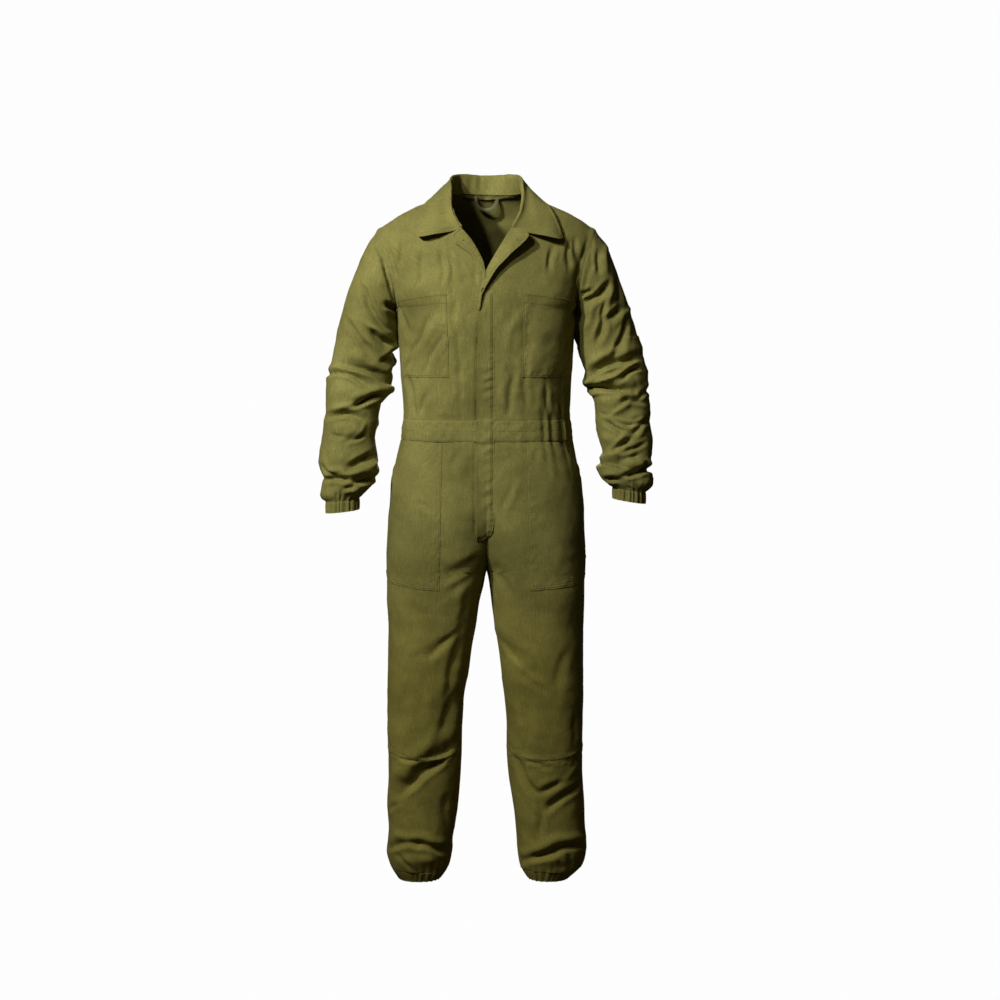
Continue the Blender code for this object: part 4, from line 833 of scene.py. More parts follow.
def fly_edge_shade_lines(side, points):
    """Distances from the fly's free edge on the right half. Along them the material grooves the cloth
    and paints a dark line beside the edge, a painted shadow.
    """
    away, z = past_fly(points)
    away = np.where((z > -700) & (z < -215), away, 900)
    return (away - 0.5, away - 1.5) if side == "right" else ()


def seam_shape(panel, felled=(), puckered=(), calm=()):
    """Relief along a panel's edges: a felled seam raised 0.9 mm over 9.5 mm with a groove at its
    end, and puckers of 12 mm that the stitches draw into the cloth, weak at a calm seam."""
    height = np.zeros(panel.points.shape[:2])
    for edge in felled:
        away = panel.from_edge(edge)
        height += 0.9 * (1 - eased((away - 8.5) / 2)) - 1.1 * bell(away, 1.1)
    pucker = ripple(panel.points, 13, 3, 10)
    for edge in (*puckered, *calm):
        strength = 0.5 if edge in puckered else 0.15
        height += strength * pucker * bell(panel.from_edge(edge) - 9, 9)
    return height


def wear(points, seed=11):
    """The small unevenness of washed drill: slow swells, short ripples and faint crease lines."""
    swells = 0.9 * ripple(points, 110, seed) + 0.28 * ripple(points, 34, seed + 1)
    lines = 0.35 * crease_lines(points, 60, seed + 2) - 0.3 * crease_lines(points, 85, seed + 3)
    return swells + lines


def mirrored(points, side):
    """Points of a left half, turned over to the right where the side is right."""
    return points * np.array([SIDES[side], 1, 1])


# %% Grids of the fronts and the back
def meeting_angle(side, level, outline):
    """Angle at which each row of the torso's front meets an outline: a table of distances from the
    middle by z."""
    dense = np.linspace(0, 90, 721)
    line = torso(dense[None], level[:, None])
    past = line[..., 0] - through(outline, side, line[..., 2])
    return np.array([max(np.interp(0, row, dense), 0) for row in past])


BODY_LENGTHS = (0, 241.0, 541.0)      # up the front: the waist seam, the armpit and the shoulder
front_levels = np.interp(shares(541.0, CELL * 0.9) * 541.0, BODY_LENGTHS, (0, 1, 2))


def over_armpit(points, levels, share):
    """The grid with its rows averaged near the armpit's level, where the torso's two formulas
    meet, but not at the side, where the armhole begins."""
    near = bell(levels - 1, 0.14)[1:-1, None] * (1 - eased((share - 0.6) / 0.3))
    for _ in range(40):
        points[1:-1] += near[..., None] * ((points[:-2] + points[2:]) / 2 - points[1:-1]) / 2
    return points


bare_fronts = {}
for side in SIDES:
    u = shares(285, CELL * 0.9)
    edge = meeting_angle(side, front_levels, NECKLINE)[:, None]
    points = torso(edge + (90 - edge) * u, front_levels[:, None])
    points = mirrored(over_armpit(points, front_levels, u), side)
    bare_fronts[side] = Panel(points, points * (1, 1, 0), front_levels, u)


def back_levels(level, share):
    """Above the armpit the back's rows bend so that the last one follows the neck seam."""
    slope = (SHOULDER_CREST - SHOULDER_TIP_Z) * np.minimum(share, NECK_SHARE) ** 1.25
    rise = (NECK_SEAM_Z - ARMPIT_Z) / (SHOULDER_CREST - ARMPIT_Z - slope)
    reach = np.where(share < NECK_SHARE, np.arccos(1 - 2 * np.clip(rise, 0, 1)) / np.pi, 1)
    return np.where(level > 1, 1 + (level - 1) * reach, level)


def back_points(turned, level):
    """Points of the back: turned runs from 90 at the left side to 270 at the right."""
    half = np.clip(np.where(turned > 180, 360 - turned, turned), 90.0001, 180)
    points = torso(half, back_levels(level, (180 - half) / 90))
    return points * xyz(np.where(turned > 180, -1, 1), 1, 1)


neck_ends = (1 - NECK_SHARE) / 2 + np.array([0, NECK_SHARE])
around_back = 90 + 180 * np.unique(np.append(shares(610, CELL * 1.4), neck_ends))
points = back_points(around_back[None], front_levels[:, None])
points = over_armpit(points, front_levels, abs(around_back - 180) / 90)
bare_back = Panel(points, points * (1, 1, 0), front_levels, around_back)
print("fronts", bare_fronts["left"].points.shape, "back", bare_back.points.shape)

# %% Folds of the body
# Each row: from x, y to x, y as seen, bow, height in mm, width in mm.
TORSO_FOLDS = rows_of("""
421.4 250 424 285 0 -7 10
442.8 242 444 284 0 -6 7
450.5 250 454 290 0 -6 6
454 286 463 417 0 -6 6.5
467 266 480 284 0 -4.5 5
461 277 476 293 0 -4 5
386 249 397 278 0 -5 7
430 316 411.5 352 1 -7 7
438 311 420 358 1 4.5 6
445 325 421 376 1 -5.5 6
425.5 392 420 412 0 -7 8
411 355 403 378 0 -5 8
408 372 414 417 0 -5.6 11
550.5 246 547.5 272 0 -5 8
569 240 569 268 0 -6 7
527 317 524 356 0 -4 15
517 311 503 356 1 3.5 7
504 352 500 417 0 4 6
514 369 506 418 0 -5.5 7
526 352 527 411 0 -4 7
545 378 548.5 417 0 -6 4.5
538 383 536.5 414 0 3.5 5
550.5 385 552.5 413 0 2.4 6
560 401 563 417 0 -4.8 6
578 372 572 416 0 -4.8 10
398 300 414 334 3 -4.8 12
580 290 566 326 3 -4.8 12
404 238 399 266 0 -6 9
389 232 395 250 0 3.2 8
574 236 580 262 0 -4.8 9
""")
# Folds of the back: degrees and level at both ends, sideways bow in degrees, height, width.
BACK_FOLDS = rows_of("""
118 0.62 150 0.02 4 -6 14
242 0.6 212 0.02 -4 -6 14
166 0.5 170 0.02 2 -4 12
194 0.44 190 0.02 -2 4 12
105 1.25 125 0.7 5 -6 13
255 1.22 235 0.72 -5 -6 13
112 1.55 140 1.2 4 -4 15
248 1.5 222 1.25 -4 -4 15
132 0.5 128 0.05 3 5 12
228 0.45 232 0.05 3 4.5 12
100 0.7 112 0.1 3 -5 10
260 0.66 249 0.1 -3 -5 10
150 1.72 210 1.72 0 -2.5 16
""")


def traced(surface, rows):
    """Folds whose lines are given on the surface itself, by its own two places."""
    t, found = FOLD_STEPS, []
    for a0, b0, a1, b1, bow, height, wide in rows:
        line = surface(a0 + (a1 - a0) * t + bow * 4 * t * (1 - t), b0 + (b1 - b0) * t)
        found.append((line, height, wide, "trough"))
    return found


body_folds = seen_folds(bare_fronts.values(), TORSO_FOLDS) + traced(back_points, BACK_FOLDS)
print(len(body_folds), "folds on the body")


# %% Fronts and back, folded
def blurred(field, closed, passes=2):
    """A field averaged with its neighbours both ways, as stiff cloth rounds its own folds."""
    for _ in range(passes):
        if closed:
            field = (np.roll(field, 1, 1) + 2 * field + np.roll(field, -1, 1)) / 4
        else:
            smoothed(field.T, 1)
        smoothed(field, 1)
    return field


def shaped(panel, folds, held, relief, seed, passes=2):
    """The panel with its folds and wear, held at its seams, and then the seams' own relief."""
    height = blurred(fold_heights(panel.points, panel.normals, folds, seed), panel.closed, passes)
    return panel.raised((height + wear(panel.points, seed + 20)) * held).raised(relief)


fronts = {}
for side, bare in bare_fronts.items():
    held = bare.tied("first", "last", "top", over=16)
    relief = seam_shape(bare, ("last",), ("first",), ("last",)) + waist_gathers(bare.points, 26)
    level = front_levels[:, None]
    beside_arm = bell(bare.from_edge("last") - 9, 8) * eased((level - 1.0) / 0.15)
    deep = {"left": 5.0, "right": 2.0}[side]
    relief -= deep * (beside_arm * eased((1.85 - level) / 0.3))
    relief -= beside_fly(side, bare.points)
    fronts[side] = panel = shaped(bare, body_folds, held, relief, 5)
    lines = seam_lines(panel, ("last",), *FELLED) + seam_lines(panel, ("bottom",), 2)
    # Beside the fly's free edge the right front is grooved and painted darker, a painted shadow of the
    # edge.
    cloth_piece(f"front_{side}", panel, lines, ("top", "bottom", "last"),
                creases=fly_edge_shade_lines(side, panel.points))

held = bare_back.tied("first", "last", "top", over=16)
relief = seam_shape(bare_back, ("first", "last"), ("top",), ("first", "last"))
back = shaped(bare_back, body_folds, held, relief + waist_gathers(bare_back.points, 32), 5)
cloth_piece("back", back, seam_lines(back, ("first", "last"), *FELLED), ALL_SEAMS)

# %% [markdown]
# ## Legs
# Each trouser front is cut across at the knee and felled there with two rows of stitches. The back
# of each leg is one piece. Both reach the waistband, and above the crotch the two sides meet in a
# middle seam. The knees keep the bend of the body that wore them, so folds cross them on the slant.

# %% Grids of the legs
LEG_STEPS = dict(
    right=rows_of("""
397 800 455 746 0 23 20
386 847 451 856 -5 17 10
386 812 402 803 0 6 7
"""),
    left=rows_of("""
543 811 580 786 2 13 10
538 794 566 779 2 10 9
520 865 590 844 -3 17 10
497 638 541 682 0 7 14
"""),
)
LEG_FOLDS = dict(
    right=rows_of("""
395 753 414 762 0 -4 6
431 828 441 843 0 -3 6
394 852 417 871 0 -6 6
398 862 442 864 -4 5 16
447 790 447 838 0 -3 12
459 448 453 474 0 -6 7
470 448 462 474 0 4 6
446 446 449 462 0 -4 5
414 500 434 511 0 -4 7
424 446 421 458 0 -4 5
480 556 440 580 0 -4.5 14
478 566 446 598 0 -3.5 11
468 585 457 640 0 -3 12
459 630 446 705 0 -5 14
452 637 412 662 0 -3 16
404 690 398 735 0 -4 12
457 690 436 748 0 -6 15
459 627 425 660 1 -5 7
430 690 424 735 0 3 14
"""),
    left=rows_of("""
513 751 540 800 1 -8 13
538 796 546 838 0 -4 10
556 786 580 764 0 4 10
527 853 583 838 -8 4 11
535 866 580 858 -4 4 14
569 853 572 869 0 -6 6
559 858 563 870 0 -4 5
521 478 506 515 0 3.5 6
515 478 501 512 0 -4 6
504 446 500 470 0 -3.5 5
512 445 509 462 0 -3.5 4.5
520 445 518 465 0 -3.5 4.5
528 445 527 460 0 -3.5 4.5
537 445 535 466 0 -3.5 4.5
545 445 545 462 0 -3.5 4.5
492 560 508 592 0 -3.5 10
565 650 555 690 0 -4 13
514 663 548 694 1 -6 7
524 758 552 765 2 -4 6
528 805 547 832 0 -5 7
576 715 573 745 0 -5 8
526 700 532 744 0 -4 13
"""),
)
# Folds behind the legs: degrees (180 inside, 270 behind, 360 outside) and z, bow, height, width.
LEG_BACK_FOLDS = dict(
    right=rows_of("""
198 -1182 330 -1218 14 -12 12
205 -1216 300 -1196 -10 6 14
210 -1245 345 -1262 12 -8 13
196 -1150 300 -1166 -10 -7 13
190 -1398 350 -1392 10 -10 9
200 -1412 340 -1408 -8 5 13
200 -1350 320 -1366 10 -5 15
212 -850 305 -880 -20 -8 16
208 -880 290 -925 -16 -6 16
222 -800 312 -812 -24 5 18
250 -560 240 -700 0 -4 18
300 -950 310 -1100 0 -4 20
215 -980 222 -1110 0 -4 20
"""),
    left=rows_of("""
200 -1206 328 -1180 -12 -12 12
208 -1186 300 -1222 10 6 14
206 -1262 340 -1240 -10 -8 13
200 -1168 300 -1150 12 -7 13
190 -1392 350 -1400 10 -10 9
205 -1408 340 -1414 -8 5 13
205 -1362 325 -1348 10 -5 15
208 -885 310 -850 20 -8 16
206 -925 290 -884 14 -6 16
220 -812 312 -800 -24 5 18
252 -570 244 -700 0 -4 18
296 -960 305 -1105 0 -4 20
212 -1000 224 -1120 0 -4 20
"""),
)


KNEE_SAG = 14.0      # the knee seam hangs lower in the middle of the front


def leg_points(side, angle, z):
    """Points of a leg on its own side of the suit."""
    return mirrored(leg(side, angle, z), side)


def leg_guide(side, points):
    """Rough way out of a leg: from a line down its middle."""
    z = points[..., 2]
    outer, inner = through(LEG, f"outer_{side}", z), np.maximum(through(LEG, f"inner_{side}", z), 0)
    return points - xyz(0.5 * SIDES[side] * (outer + inner), 0, z)


def leg_panel(side, rows, share, start, end):
    """A panel of a leg between two angles, each a number or one for each row."""
    start, end = (np.broadcast_to(a, len(rows))[:, None] for a in (start, end))
    angle, z = np.broadcast_arrays(start + (end - start) * share, rows[:, None])
    sag = KNEE_SAG * np.clip(np.sin(np.radians(angle)), 0, 1) ** 2 * bell(z - KNEE_SEAM, 90)
    points = leg_points(side, angle, z - sag)
    return Panel(points, leg_guide(side, points), rows, share)


def rows_between(top, bottom, cell):
    """Heights from top to bottom, about one cell apart."""
    return top + (bottom - top) * shares(top - bottom, cell)


bare_upper, bare_lower, bare_leg_back = {}, {}, {}
for side in SIDES:
    rows = rows_between(WAIST_BOTTOM, KNEE_SEAM, CELL)
    bare_upper[side] = leg_panel(side, rows, shares(250, CELL), 0, seam_angle(side, rows, 1))
    rows = rows_between(KNEE_SEAM, ANKLE_TOP, CELL * 0.9)
    bare_lower[side] = leg_panel(side, rows, shares(250, CELL * 0.9), 0, 180)
    rows = rows_between(WAIST_BOTTOM, ANKLE_TOP, CELL * 1.35)
    start = 360 - seam_angle(side, rows, -1)
    bare_leg_back[side] = leg_panel(side, rows, shares(290, CELL * 1.35), start, 360)
print("legs", bare_upper["left"].points.shape, bare_lower["left"].points.shape)

# %% Legs, folded
ANKLE_WAVES, CUFF_WAVES = 26, 22


def ribbing(angle, count, height, seed):
    """Ribs of an elastic hem: cos(2 pi waves) with waves that crowd and spread round the hem."""
    rng = np.random.default_rng(seed)
    turn = np.radians(angle)

    def waves(size, *counts):
        return sum(rng.uniform(-size, size) * np.sin(k * turn + rng.uniform(0, 6)) for k in counts)

    drift = waves(0.16, 2, 3, 5, 7, 11)
    return height * (1 + waves(0.25, 2, 5, 8, 13)) * np.cos(count * turn + 2 * np.pi * drift)


def ankle_gathers(panel, start, end):
    """Ribs of the ankle hem, running out up the leg over 30 mm, weak on the outer half in front."""
    angle = start + (end - start) * panel.u
    away = panel.v[:, None] - ANKLE_TOP
    uneven = 26 + 14 * np.sin(np.radians(angle * 6 + 50)) * np.sin(np.radians(angle * 11))
    strong = np.interp(angle, (0, 85, 115, 200, 300, 360), (0.15, 0.15, 0.6, 1, 1, 0.15))
    return ribbing(angle, ANKLE_WAVES, 1.9, 7)[None] * strong * np.exp(-away / uneven)


uppers = {}
for side in SIDES:
    upper, lower, behind = bare_upper[side], bare_lower[side], bare_leg_back[side]
    folds = seen_folds((upper, lower), LEG_FOLDS[side])
    folds += seen_folds((upper, lower), LEG_STEPS[side], "step")
    folds += traced(lambda a, z: leg_points(side, a, z), LEG_BACK_FOLDS[side])

    held = upper.tied("first", "last", "bottom", over=14)
    relief = seam_shape(upper, ("first", "bottom"), ("bottom",), ("first", "last"))
    relief = relief + waist_gathers(upper.points, 40) - beside_fly(side, upper.points)
    uppers[side] = panel = shaped(upper, folds, held, relief, 6)
    lines = seam_lines(panel, ("first", "bottom", "last"), *FELLED)
    cloth_piece(f"leg_front_upper_{side}", panel, lines, ALL_SEAMS)

    held = lower.tied("first", "last", over=14) * lower.tied("top", over=6)
    relief = seam_shape(lower, ("first",), ("top",), ("first", "last"))
    relief += ankle_gathers(lower, 0, 180)
    panel = shaped(lower, folds, held, relief, 6)
    lines = seam_lines(panel, ("first", "last"), *FELLED)
    cloth_piece(f"leg_front_lower_{side}", panel, lines, ALL_SEAMS)

    held = behind.tied("first", "last", over=14)
    relief = seam_shape(behind, ("first",), (), ("first", "last")) + waist_gathers(behind.points, 45)
    relief += ankle_gathers(behind, 360 - seam_angle(side, behind.v, -1)[-1], 360)
    panel = shaped(behind, folds, held, relief, 6)
    cloth_piece(f"leg_back_{side}", panel, seam_lines(panel, ("first",), *FELLED), ALL_SEAMS)

# %% [markdown]
# ## Sleeves
# Each sleeve is one piece sewn into a tube. It is too long for the arm, so it is pushed up and
# stands in folds from the elbow to the elastic cuff: deep troughs across the inside of the elbow,
# and below them fat swells with thin creases between.

# %% Grids and folds of the sleeves
SLEEVE_STEPS = dict(
    right=rows_of("""
339.2 363.9 392 386.7 -5 18.6 10.8
328.7 374.7 366.4 389.1 -6.5 14.4 8.4
352.9 407.8 383.1 397.2 -2 24.4 9.6
325.9 419.4 364.2 422.8 -6 15.9 8.4
345.3 443.1 364.2 434.4 0 12.9 7.2
324.2 482.8 349.2 479.1 -1 21.6 9.6
350.9 481.1 374.2 480 0 20.1 9.6
343.7 491.1 357 485.8 0 14.4 7.2
383.1 366.7 398.7 354.4 2 11.5 10.8
"""),
    left=rows_of("""
586.2 379.4 639.6 358.7 -5 23 10.2
616.8 381.3 646.2 371.1 -4 14.4 7.2
587.3 391.7 630.9 393.1 -4.5 24.4 9.6
637.9 397.6 647.9 391.7 0 10.1 7.2
620.7 407.6 647.3 405 -5 12.9 7.2
603.4 422.8 624.9 433.1 0 15.9 7.8
631.2 435.3 647.3 422.8 0 15.9 7.2
597.9 463.6 634.6 471.3 -3 17.2 8.4
621.8 478 650.7 469.4 1 23 9.6
604 479.4 621.2 483.1 -1 17.2 7.2
616.2 356.7 620.7 352.2 0 8.6 6
"""),
)
SLEEVE_FOLDS = dict(
    right=rows_of("""
339.8 366.9 368.1 390.6 1 8.4 4.4
332 388.9 364.2 392.2 0 6.7 20.9
368.1 391.7 332 412.2 2 5.1 6.6
330.9 426.7 364.2 426.7 0 6 16.5
366.4 422.8 344.2 440.6 3 6.8 4.4
330.3 431.1 345.3 436.1 2 -6 5.5
326.4 450 352 461.1 0 7.4 22
321.4 463.3 335.9 475.6 2 -9 5.5
324.2 458.3 334.8 473.3 2 5.1 4.4
348.7 468.9 374.2 453.3 0 -13.4 9.9
326.4 476.7 375.3 459.4 5 9 7.7
334.2 487.8 360.9 488.9 0 4.6 13.2
335.3 493.3 335.9 500 0 -6 4.4
341.4 492.8 341.8 500 0 -7.4 4.4
383.1 383.3 389.8 386.7 0 7.4 11
380 250 393 292 -2 -9 7.7
374 262 384 290 0 5.1 6.6
360 284 393 334 4 -9 8.8
346 316 372 357 1 -7.4 9.9
345 331 358 353 0 -6 7.7
361 318 392 333 2 6.8 6.6
385 302 399 308 0 -19.4 7.7
371 330 393 347 1 -13.4 9.9
380 361 397 352 0 -13.4 8.8
"""),
    left=rows_of("""
639.6 360.2 589 385.8 2 10.1 4.4
599.6 371.1 620.7 368.9 0 4.6 9.9
620.7 379.4 645.1 379.4 0 6 13.2
615.1 380.6 634 395.6 0 6.8 5
598.4 398.9 627.3 400 0 7.4 19.8
633.8 398.9 608.4 416.9 1 8.4 5
600.1 410 611.2 412.8 2 -6 5.5
625.1 413.3 646.2 413.3 0 6 13.2
615.1 419.8 646.8 417.6 6 -10.6 5.5
606.4 418.3 628.7 430.2 2 8.4 4.4
600.7 437.8 621.8 438.9 0 6 14.3
628.2 430.9 605.7 452 2 9.3 5
610.7 455 633.4 435.8 0 -13.4 5.5
615.7 458.3 639.8 442.4 0 6.8 4.4
624 453.9 645.1 439.8 0 -10.6 5.5
617.3 461.4 640.7 453.3 2 -9 5.5
600.7 470.6 631.8 473.3 0 6.7 9.9
645.1 461.1 645.1 473.3 0 -10.6 8.8
636.2 483.3 652.9 482.2 0 7.4 11
627.3 486.7 636.2 494.4 0 -7.4 4.4
635.7 485 641.8 493.3 0 -6 4.4
599 250 598 276 0 -7.4 8.8
606 244 609 272 0 4.6 7.7
611 282 584 304 1 -15 8.8
580 297 592 291 -1 -16.6 5.5
623 306 605 322 1 -15 8.8
627 316 615 356 0 -10.6 7.7
606 302 595 344 0 -10.6 7.7
618 277 621 304 0 -9 9.9
612 287 601 330 0 7.4 8.8
629 308 608 320 1 6.8 6.6
592 302 585 332 0 7.4 11
"""),
)
# Folds behind the sleeves: degrees (180 under, 270 behind, 360 over) and ring, bow, height, width.
# The last three of each lie beside the armhole seam and under the arm, where it rests on the body.
SLEEVE_BACK_FOLDS = dict(
    right=rows_of("""
196 7.9 300 7.0 8 -9 9
190 8.6 330 8.2 -8 8 9
200 9.4 320 9.0 10 -9 8
186 10.2 300 10.9 -8 7 10
205 11.2 350 11.6 8 -8 8
190 12.2 310 12.8 8 7 10
210 13.2 345 13.4 -8 -8 7
215 6.0 290 5.0 8 -5 12
205 2.8 262 1.2 0 -5 12
285 4.2 322 2.0 0 -4 14
5 0.3 150 0.3 0 -6 5
20 0.8 120 0.8 0 3 7
170 1.6 190 6.6 0 7 26
"""),
    left=rows_of("""
192 7.6 305 7.2 -8 -9 9
196 8.4 322 8.8 8 8 9
186 9.3 330 9.7 -10 -9 8
200 10.6 315 10.1 8 7 10
190 11.5 345 11.2 -8 -8 8
205 12.4 320 12.1 8 7 10
195 13.3 350 13.5 8 -8 7
220 5.8 292 5.2 -8 -5 12
207 2.6 264 1.4 0 -5 12
288 4.0 325 2.2 0 -4 14
60 0.15 140 0.15 0 2.2 5
60 0.8 150 0.7 0 -3 6
165 1.2 185 5.4 0 15 24
"""),
)


def sleeve_points(side, angle, ring):
    """Points of a sleeve on its own side of the suit."""
    return mirrored(sleeve(side, angle, ring), side)


# How far the sleeve stands out beyond its plain form on its outer and its inner side, by z.
SLEEVE_SWELLS = dict(
    right=table("z outer inner", """
-630 4 1; -613 6 1; -595 -6 2; -578 -15 2; -560 -4 3; -542 2 1; -525 0 4; -490 -2 0; -454 -3 2
-437 -6 -3; -419 -4 -8; -401 -2 0; -384 0 8; -366 3 2; -349 0 -6; -331 -2 0; -311 -1 2
-290 0 0
"""),
    left=table("z outer inner", """
-630 2 0; -613 5 0; -595 2 2; -578 0 4; -560 -17 3; -542 -11 -4; -525 -5 -12; -507 -3 -6
-490 -2 0; -472 -2 2; -454 -2 0; -437 3 -6; -419 4 -12; -401 2 -12; -384 2 -3; -366 5 -2
-348 9 -10; -331 5 -8; -313 3 -2; -296 6 0; -278 3 0
"""),
)


def ring_rows(cell):
    """Rings about one cell apart, by the length down the sleeve's middle."""
    x, z = ((SLEEVE[f"outer_{way}"] + SLEEVE[f"inner_{way}"]) / 2 for way in "xz")
    gone = lengths(xyz(x, 0, z))
    return np.interp(shares(gone[-1], cell) * gone[-1], gone, SLEEVE["ring"])


def tube_panel(points, v, u):
    """A panel that closes round on itself."""
    return Panel(points, points - points.mean(1, keepdims=True), v, u, closed=True)


def round_the_arm(side, bare, rows, kind):
    """Seen folds of a sleeve. One that reaches the sleeve's outline goes on behind it, up to 60
    degrees further, by its own slope of rings to degrees."""
    *cloud, angle, ring = cloud_of(bare, *np.broadcast_arrays(bare.u[None], bare.v[:, None]))
    more = np.linspace(8, 48, 5)
    found = []
    for *line, height, wide in rows:
        picked = seen_line(cloud, *line)
        angles, rings = (angle[picked] + 90) % 360 - 90, ring[picked]
        for end, inner in ((0, 12), (-1, 12)):
            if 22 <= angles[end] <= 158:
                continue
            gone = abs(angles[end] - angles[inner])
            slope = np.clip((rings[end] - rings[inner]) / max(gone, 20), -0.012, 0.012)
            further = angles[end] + (-more if angles[end] < 90 else more)
            beyond = rings[end] + slope * more * np.exp(-more / 60)
            if end == 0:
                angles, rings = np.append(further[::-1], angles), np.append(beyond[::-1], rings)
            else:
                angles, rings = np.append(angles, further), np.append(rings, beyond)
        rings = np.clip(rings, 0, LAST_RING)
        found.append((smoothed(sleeve_points(side, angles, rings)), height, wide, kind))
    return found


for side in SIDES:
    count = int(370 / (CELL * 0.72) / 4) * 4
    around = np.arange(count) * 360 / count
    rings = ring_rows(CELL * 0.72)
    bare = tube_panel(sleeve_points(side, around[None], rings[:, None]), rings, around)
    z, turned = bare.points[..., 2], np.cos(np.radians(around))[None]
    by_z, *swells = SLEEVE_SWELLS[side].values()
    outer, inner = (np.interp(z, by_z, swell) for swell in swells)
    swell = outer * np.clip(turned, 0, 1) ** 2 + inner * np.clip(-turned, 0, 1) ** 2
    swell = swell * ((z < -270) & (rings[:, None] > 1))
    bare = bare.raised(swell * bare.tied("top", "bottom", over=10))
    folds = round_the_arm(side, bare, SLEEVE_STEPS[side], "step")
    folds += round_the_arm(side, bare, SLEEVE_FOLDS[side], "trough")
    folds += traced(lambda a, ring: sleeve_points(side, a, ring), SLEEVE_BACK_FOLDS[side])
    fade = np.exp(-bare.from_edge("bottom") / 22)
    relief = seam_shape(bare, (), ("top",)) + ribbing(around, CUFF_WAVES, 1.3, 5)[None] * fade
    panel = shaped(bare, folds, bare.tied("top", "bottom", over=14), relief, 8, 1)
    cloth_piece(f"sleeve_{side}", panel, seam_lines(panel, ("top",), 2), ("top", "bottom"))

# %% [markdown]
# ## Elastic: waistband, cuffs and ankle hems
# The waistband is a double band with elastic drawn through its back and sides. The cuffs and the
# ankle hems are turned over elastic too. Elastic that is sewn while stretched pulls the cloth into
# close upright ribs, so each band is a strip whose height is a wave along it.

# %% Bands
def elastic_hem(part, count, surface, v, across, height, seed, pull=((0, 360), (1, 1))):
    """A turned hem with elastic in it: ribs round it, fullest in the middle of its width and drawn
    in at the seam. across runs from 0 at the seam to 1, and pull is the elastic's by degrees."""
    around = np.arange(count * 14) * 360 / (count * 14)
    bare = tube_panel(surface(around[None], v[:, None]), v, around)
    ribs = np.interp(around, *pull) * ribbing(around, count, height, seed)[None]
    ribs = ribs * (1 + 0.5 * np.sin(np.pi * across)) - 0.8 * (1 - eased(across * 8))
    panel = bare.raised(ribs + 0.5)
    lines = seam_lines(panel, ("top", "bottom"), 3)
    cloth_piece(part, panel, lines, ("top",), thickness=TWO_LAYERS, held="gathered")


ANKLE_PULL = (0, 85, 115, 200, 300, 360), (0.2, 0.2, 0.6, 1, 1, 0.2)
for side in SIDES:
    rings = LAST_RING + shares(CUFF_DROP, 2.6)
    elastic_hem(f"cuff_{side}", CUFF_WAVES, lambda angle, ring: sleeve_points(side, angle, ring),
                rings, rings[:, None] - LAST_RING, 1.2, 5)
    levels = ANKLE_TOP + (ANKLE_BOTTOM - ANKLE_TOP) * shares(CUFF_DROP, 2.6)
    elastic_hem(f"ankle_hem_{side}", ANKLE_WAVES, lambda angle, z: leg_points(side, angle, z),
                levels, (ANKLE_TOP - levels[:, None]) / CUFF_DROP, 1.3, 7, ANKLE_PULL)

belt_rows = BELT_LEVEL - BELT_LEVEL * shares(48, 3.0)
for name in ("front_right", "front_left", "back"):
    if name == "back":
        u = 90 + 180 * shares(560, 2.6)
        points = back_points(u[None], belt_rows[:, None])
    else:
        u = 90 * shares(270, 2.6)
        points = mirrored(torso(u[None], belt_rows[:, None]), name[6:])
    bare = Panel(points, points * (1, 1, 0), belt_rows, u)
    across = (belt_rows - BELT_LEVEL)[:, None] / -BELT_LEVEL
    swell = 1.6 * np.sin(np.pi * across) ** 0.7 + 0.5 - 1.4 * bell(across * (1 - across) * 4, 0.12)
    height = waist_gathers(bare.points, 30) * (1 + 0.15 * np.sin(np.pi * across)) + swell
    ends = 0.35 + 0.65 * bare.tied("first", "last", over=3)
    panel = bare.raised(height * ends + 0.3 * ripple(bare.points, 14, 31))
    lines = seam_lines(panel, ("top", "bottom"), 3) + seam_lines(panel, ("top",), 24)
    # The two creases along the band's bottom edge are grooved and painted darker: painted shade under
    # the band.
    cloth_piece(f"waistband_{name}", panel, lines, ALL_SEAMS, thickness=TWO_LAYERS, held="gathered",
                creases=seam_lines(panel, ("bottom",), 0.2, 1.4))

# %% [markdown]
# ## Patch pockets
# A patch pocket is a second layer sewn on top of a panel. Its grid is read off the panel under it,
# wrinkles and all, and lifted by its own thickness, a little more in the middle where it hangs
# loose. The chest pockets have a wide hem at the mouth. The hip pockets reach into the side seam and
# the waist seam, and their upper outer corner is cut off for the hand.

# %% Pockets
CHEST_POCKET = table("z right left", """
-500 77 76; -357 79 77; -182 86 81; 40 98 96
""")
CHEST_POCKET_LEVELS, CHEST_POCKET_OUTER, POCKET_HEM = (0.3817, 1.215), 72, 22
POCKET_SLANT = 0.045      # levels by which the mouth's outer end is lower
HIP_POCKET_BOTTOM, HIP_MOUTH_BOTTOM, HIP_MOUTH_SHARE, HIP_SLANT = -818, -590, 0.6, 20
HIP_POCKET = dict(right=(95, 103), left=(84, 95))      # distance from the middle, above and below


def patch(panel, v, u, sewn_edges, belly):
    """A layer over a panel: lifted, fuller in the middle, its sewn edges pressed down."""
    found = Panel(panel.at(v, u)[0], sample(panel.normals, *panel.index(v, u)),
                  np.arange(len(v)), np.linspace(0, 1, u.shape[1]))
    away = found.near(*sewn_edges)
    height = 1.7 - 0.5 * bell(away, 2.0) + belly * eased((away - 9) / 45)
    height = height - 0.35 * bell(away - 2, 1.3) - 0.35 * bell(away - 8, 1.3)
    return found.raised(height + 0.4 * ripple(found.points, 11, 61, 10) * bell(away - 9, 8))


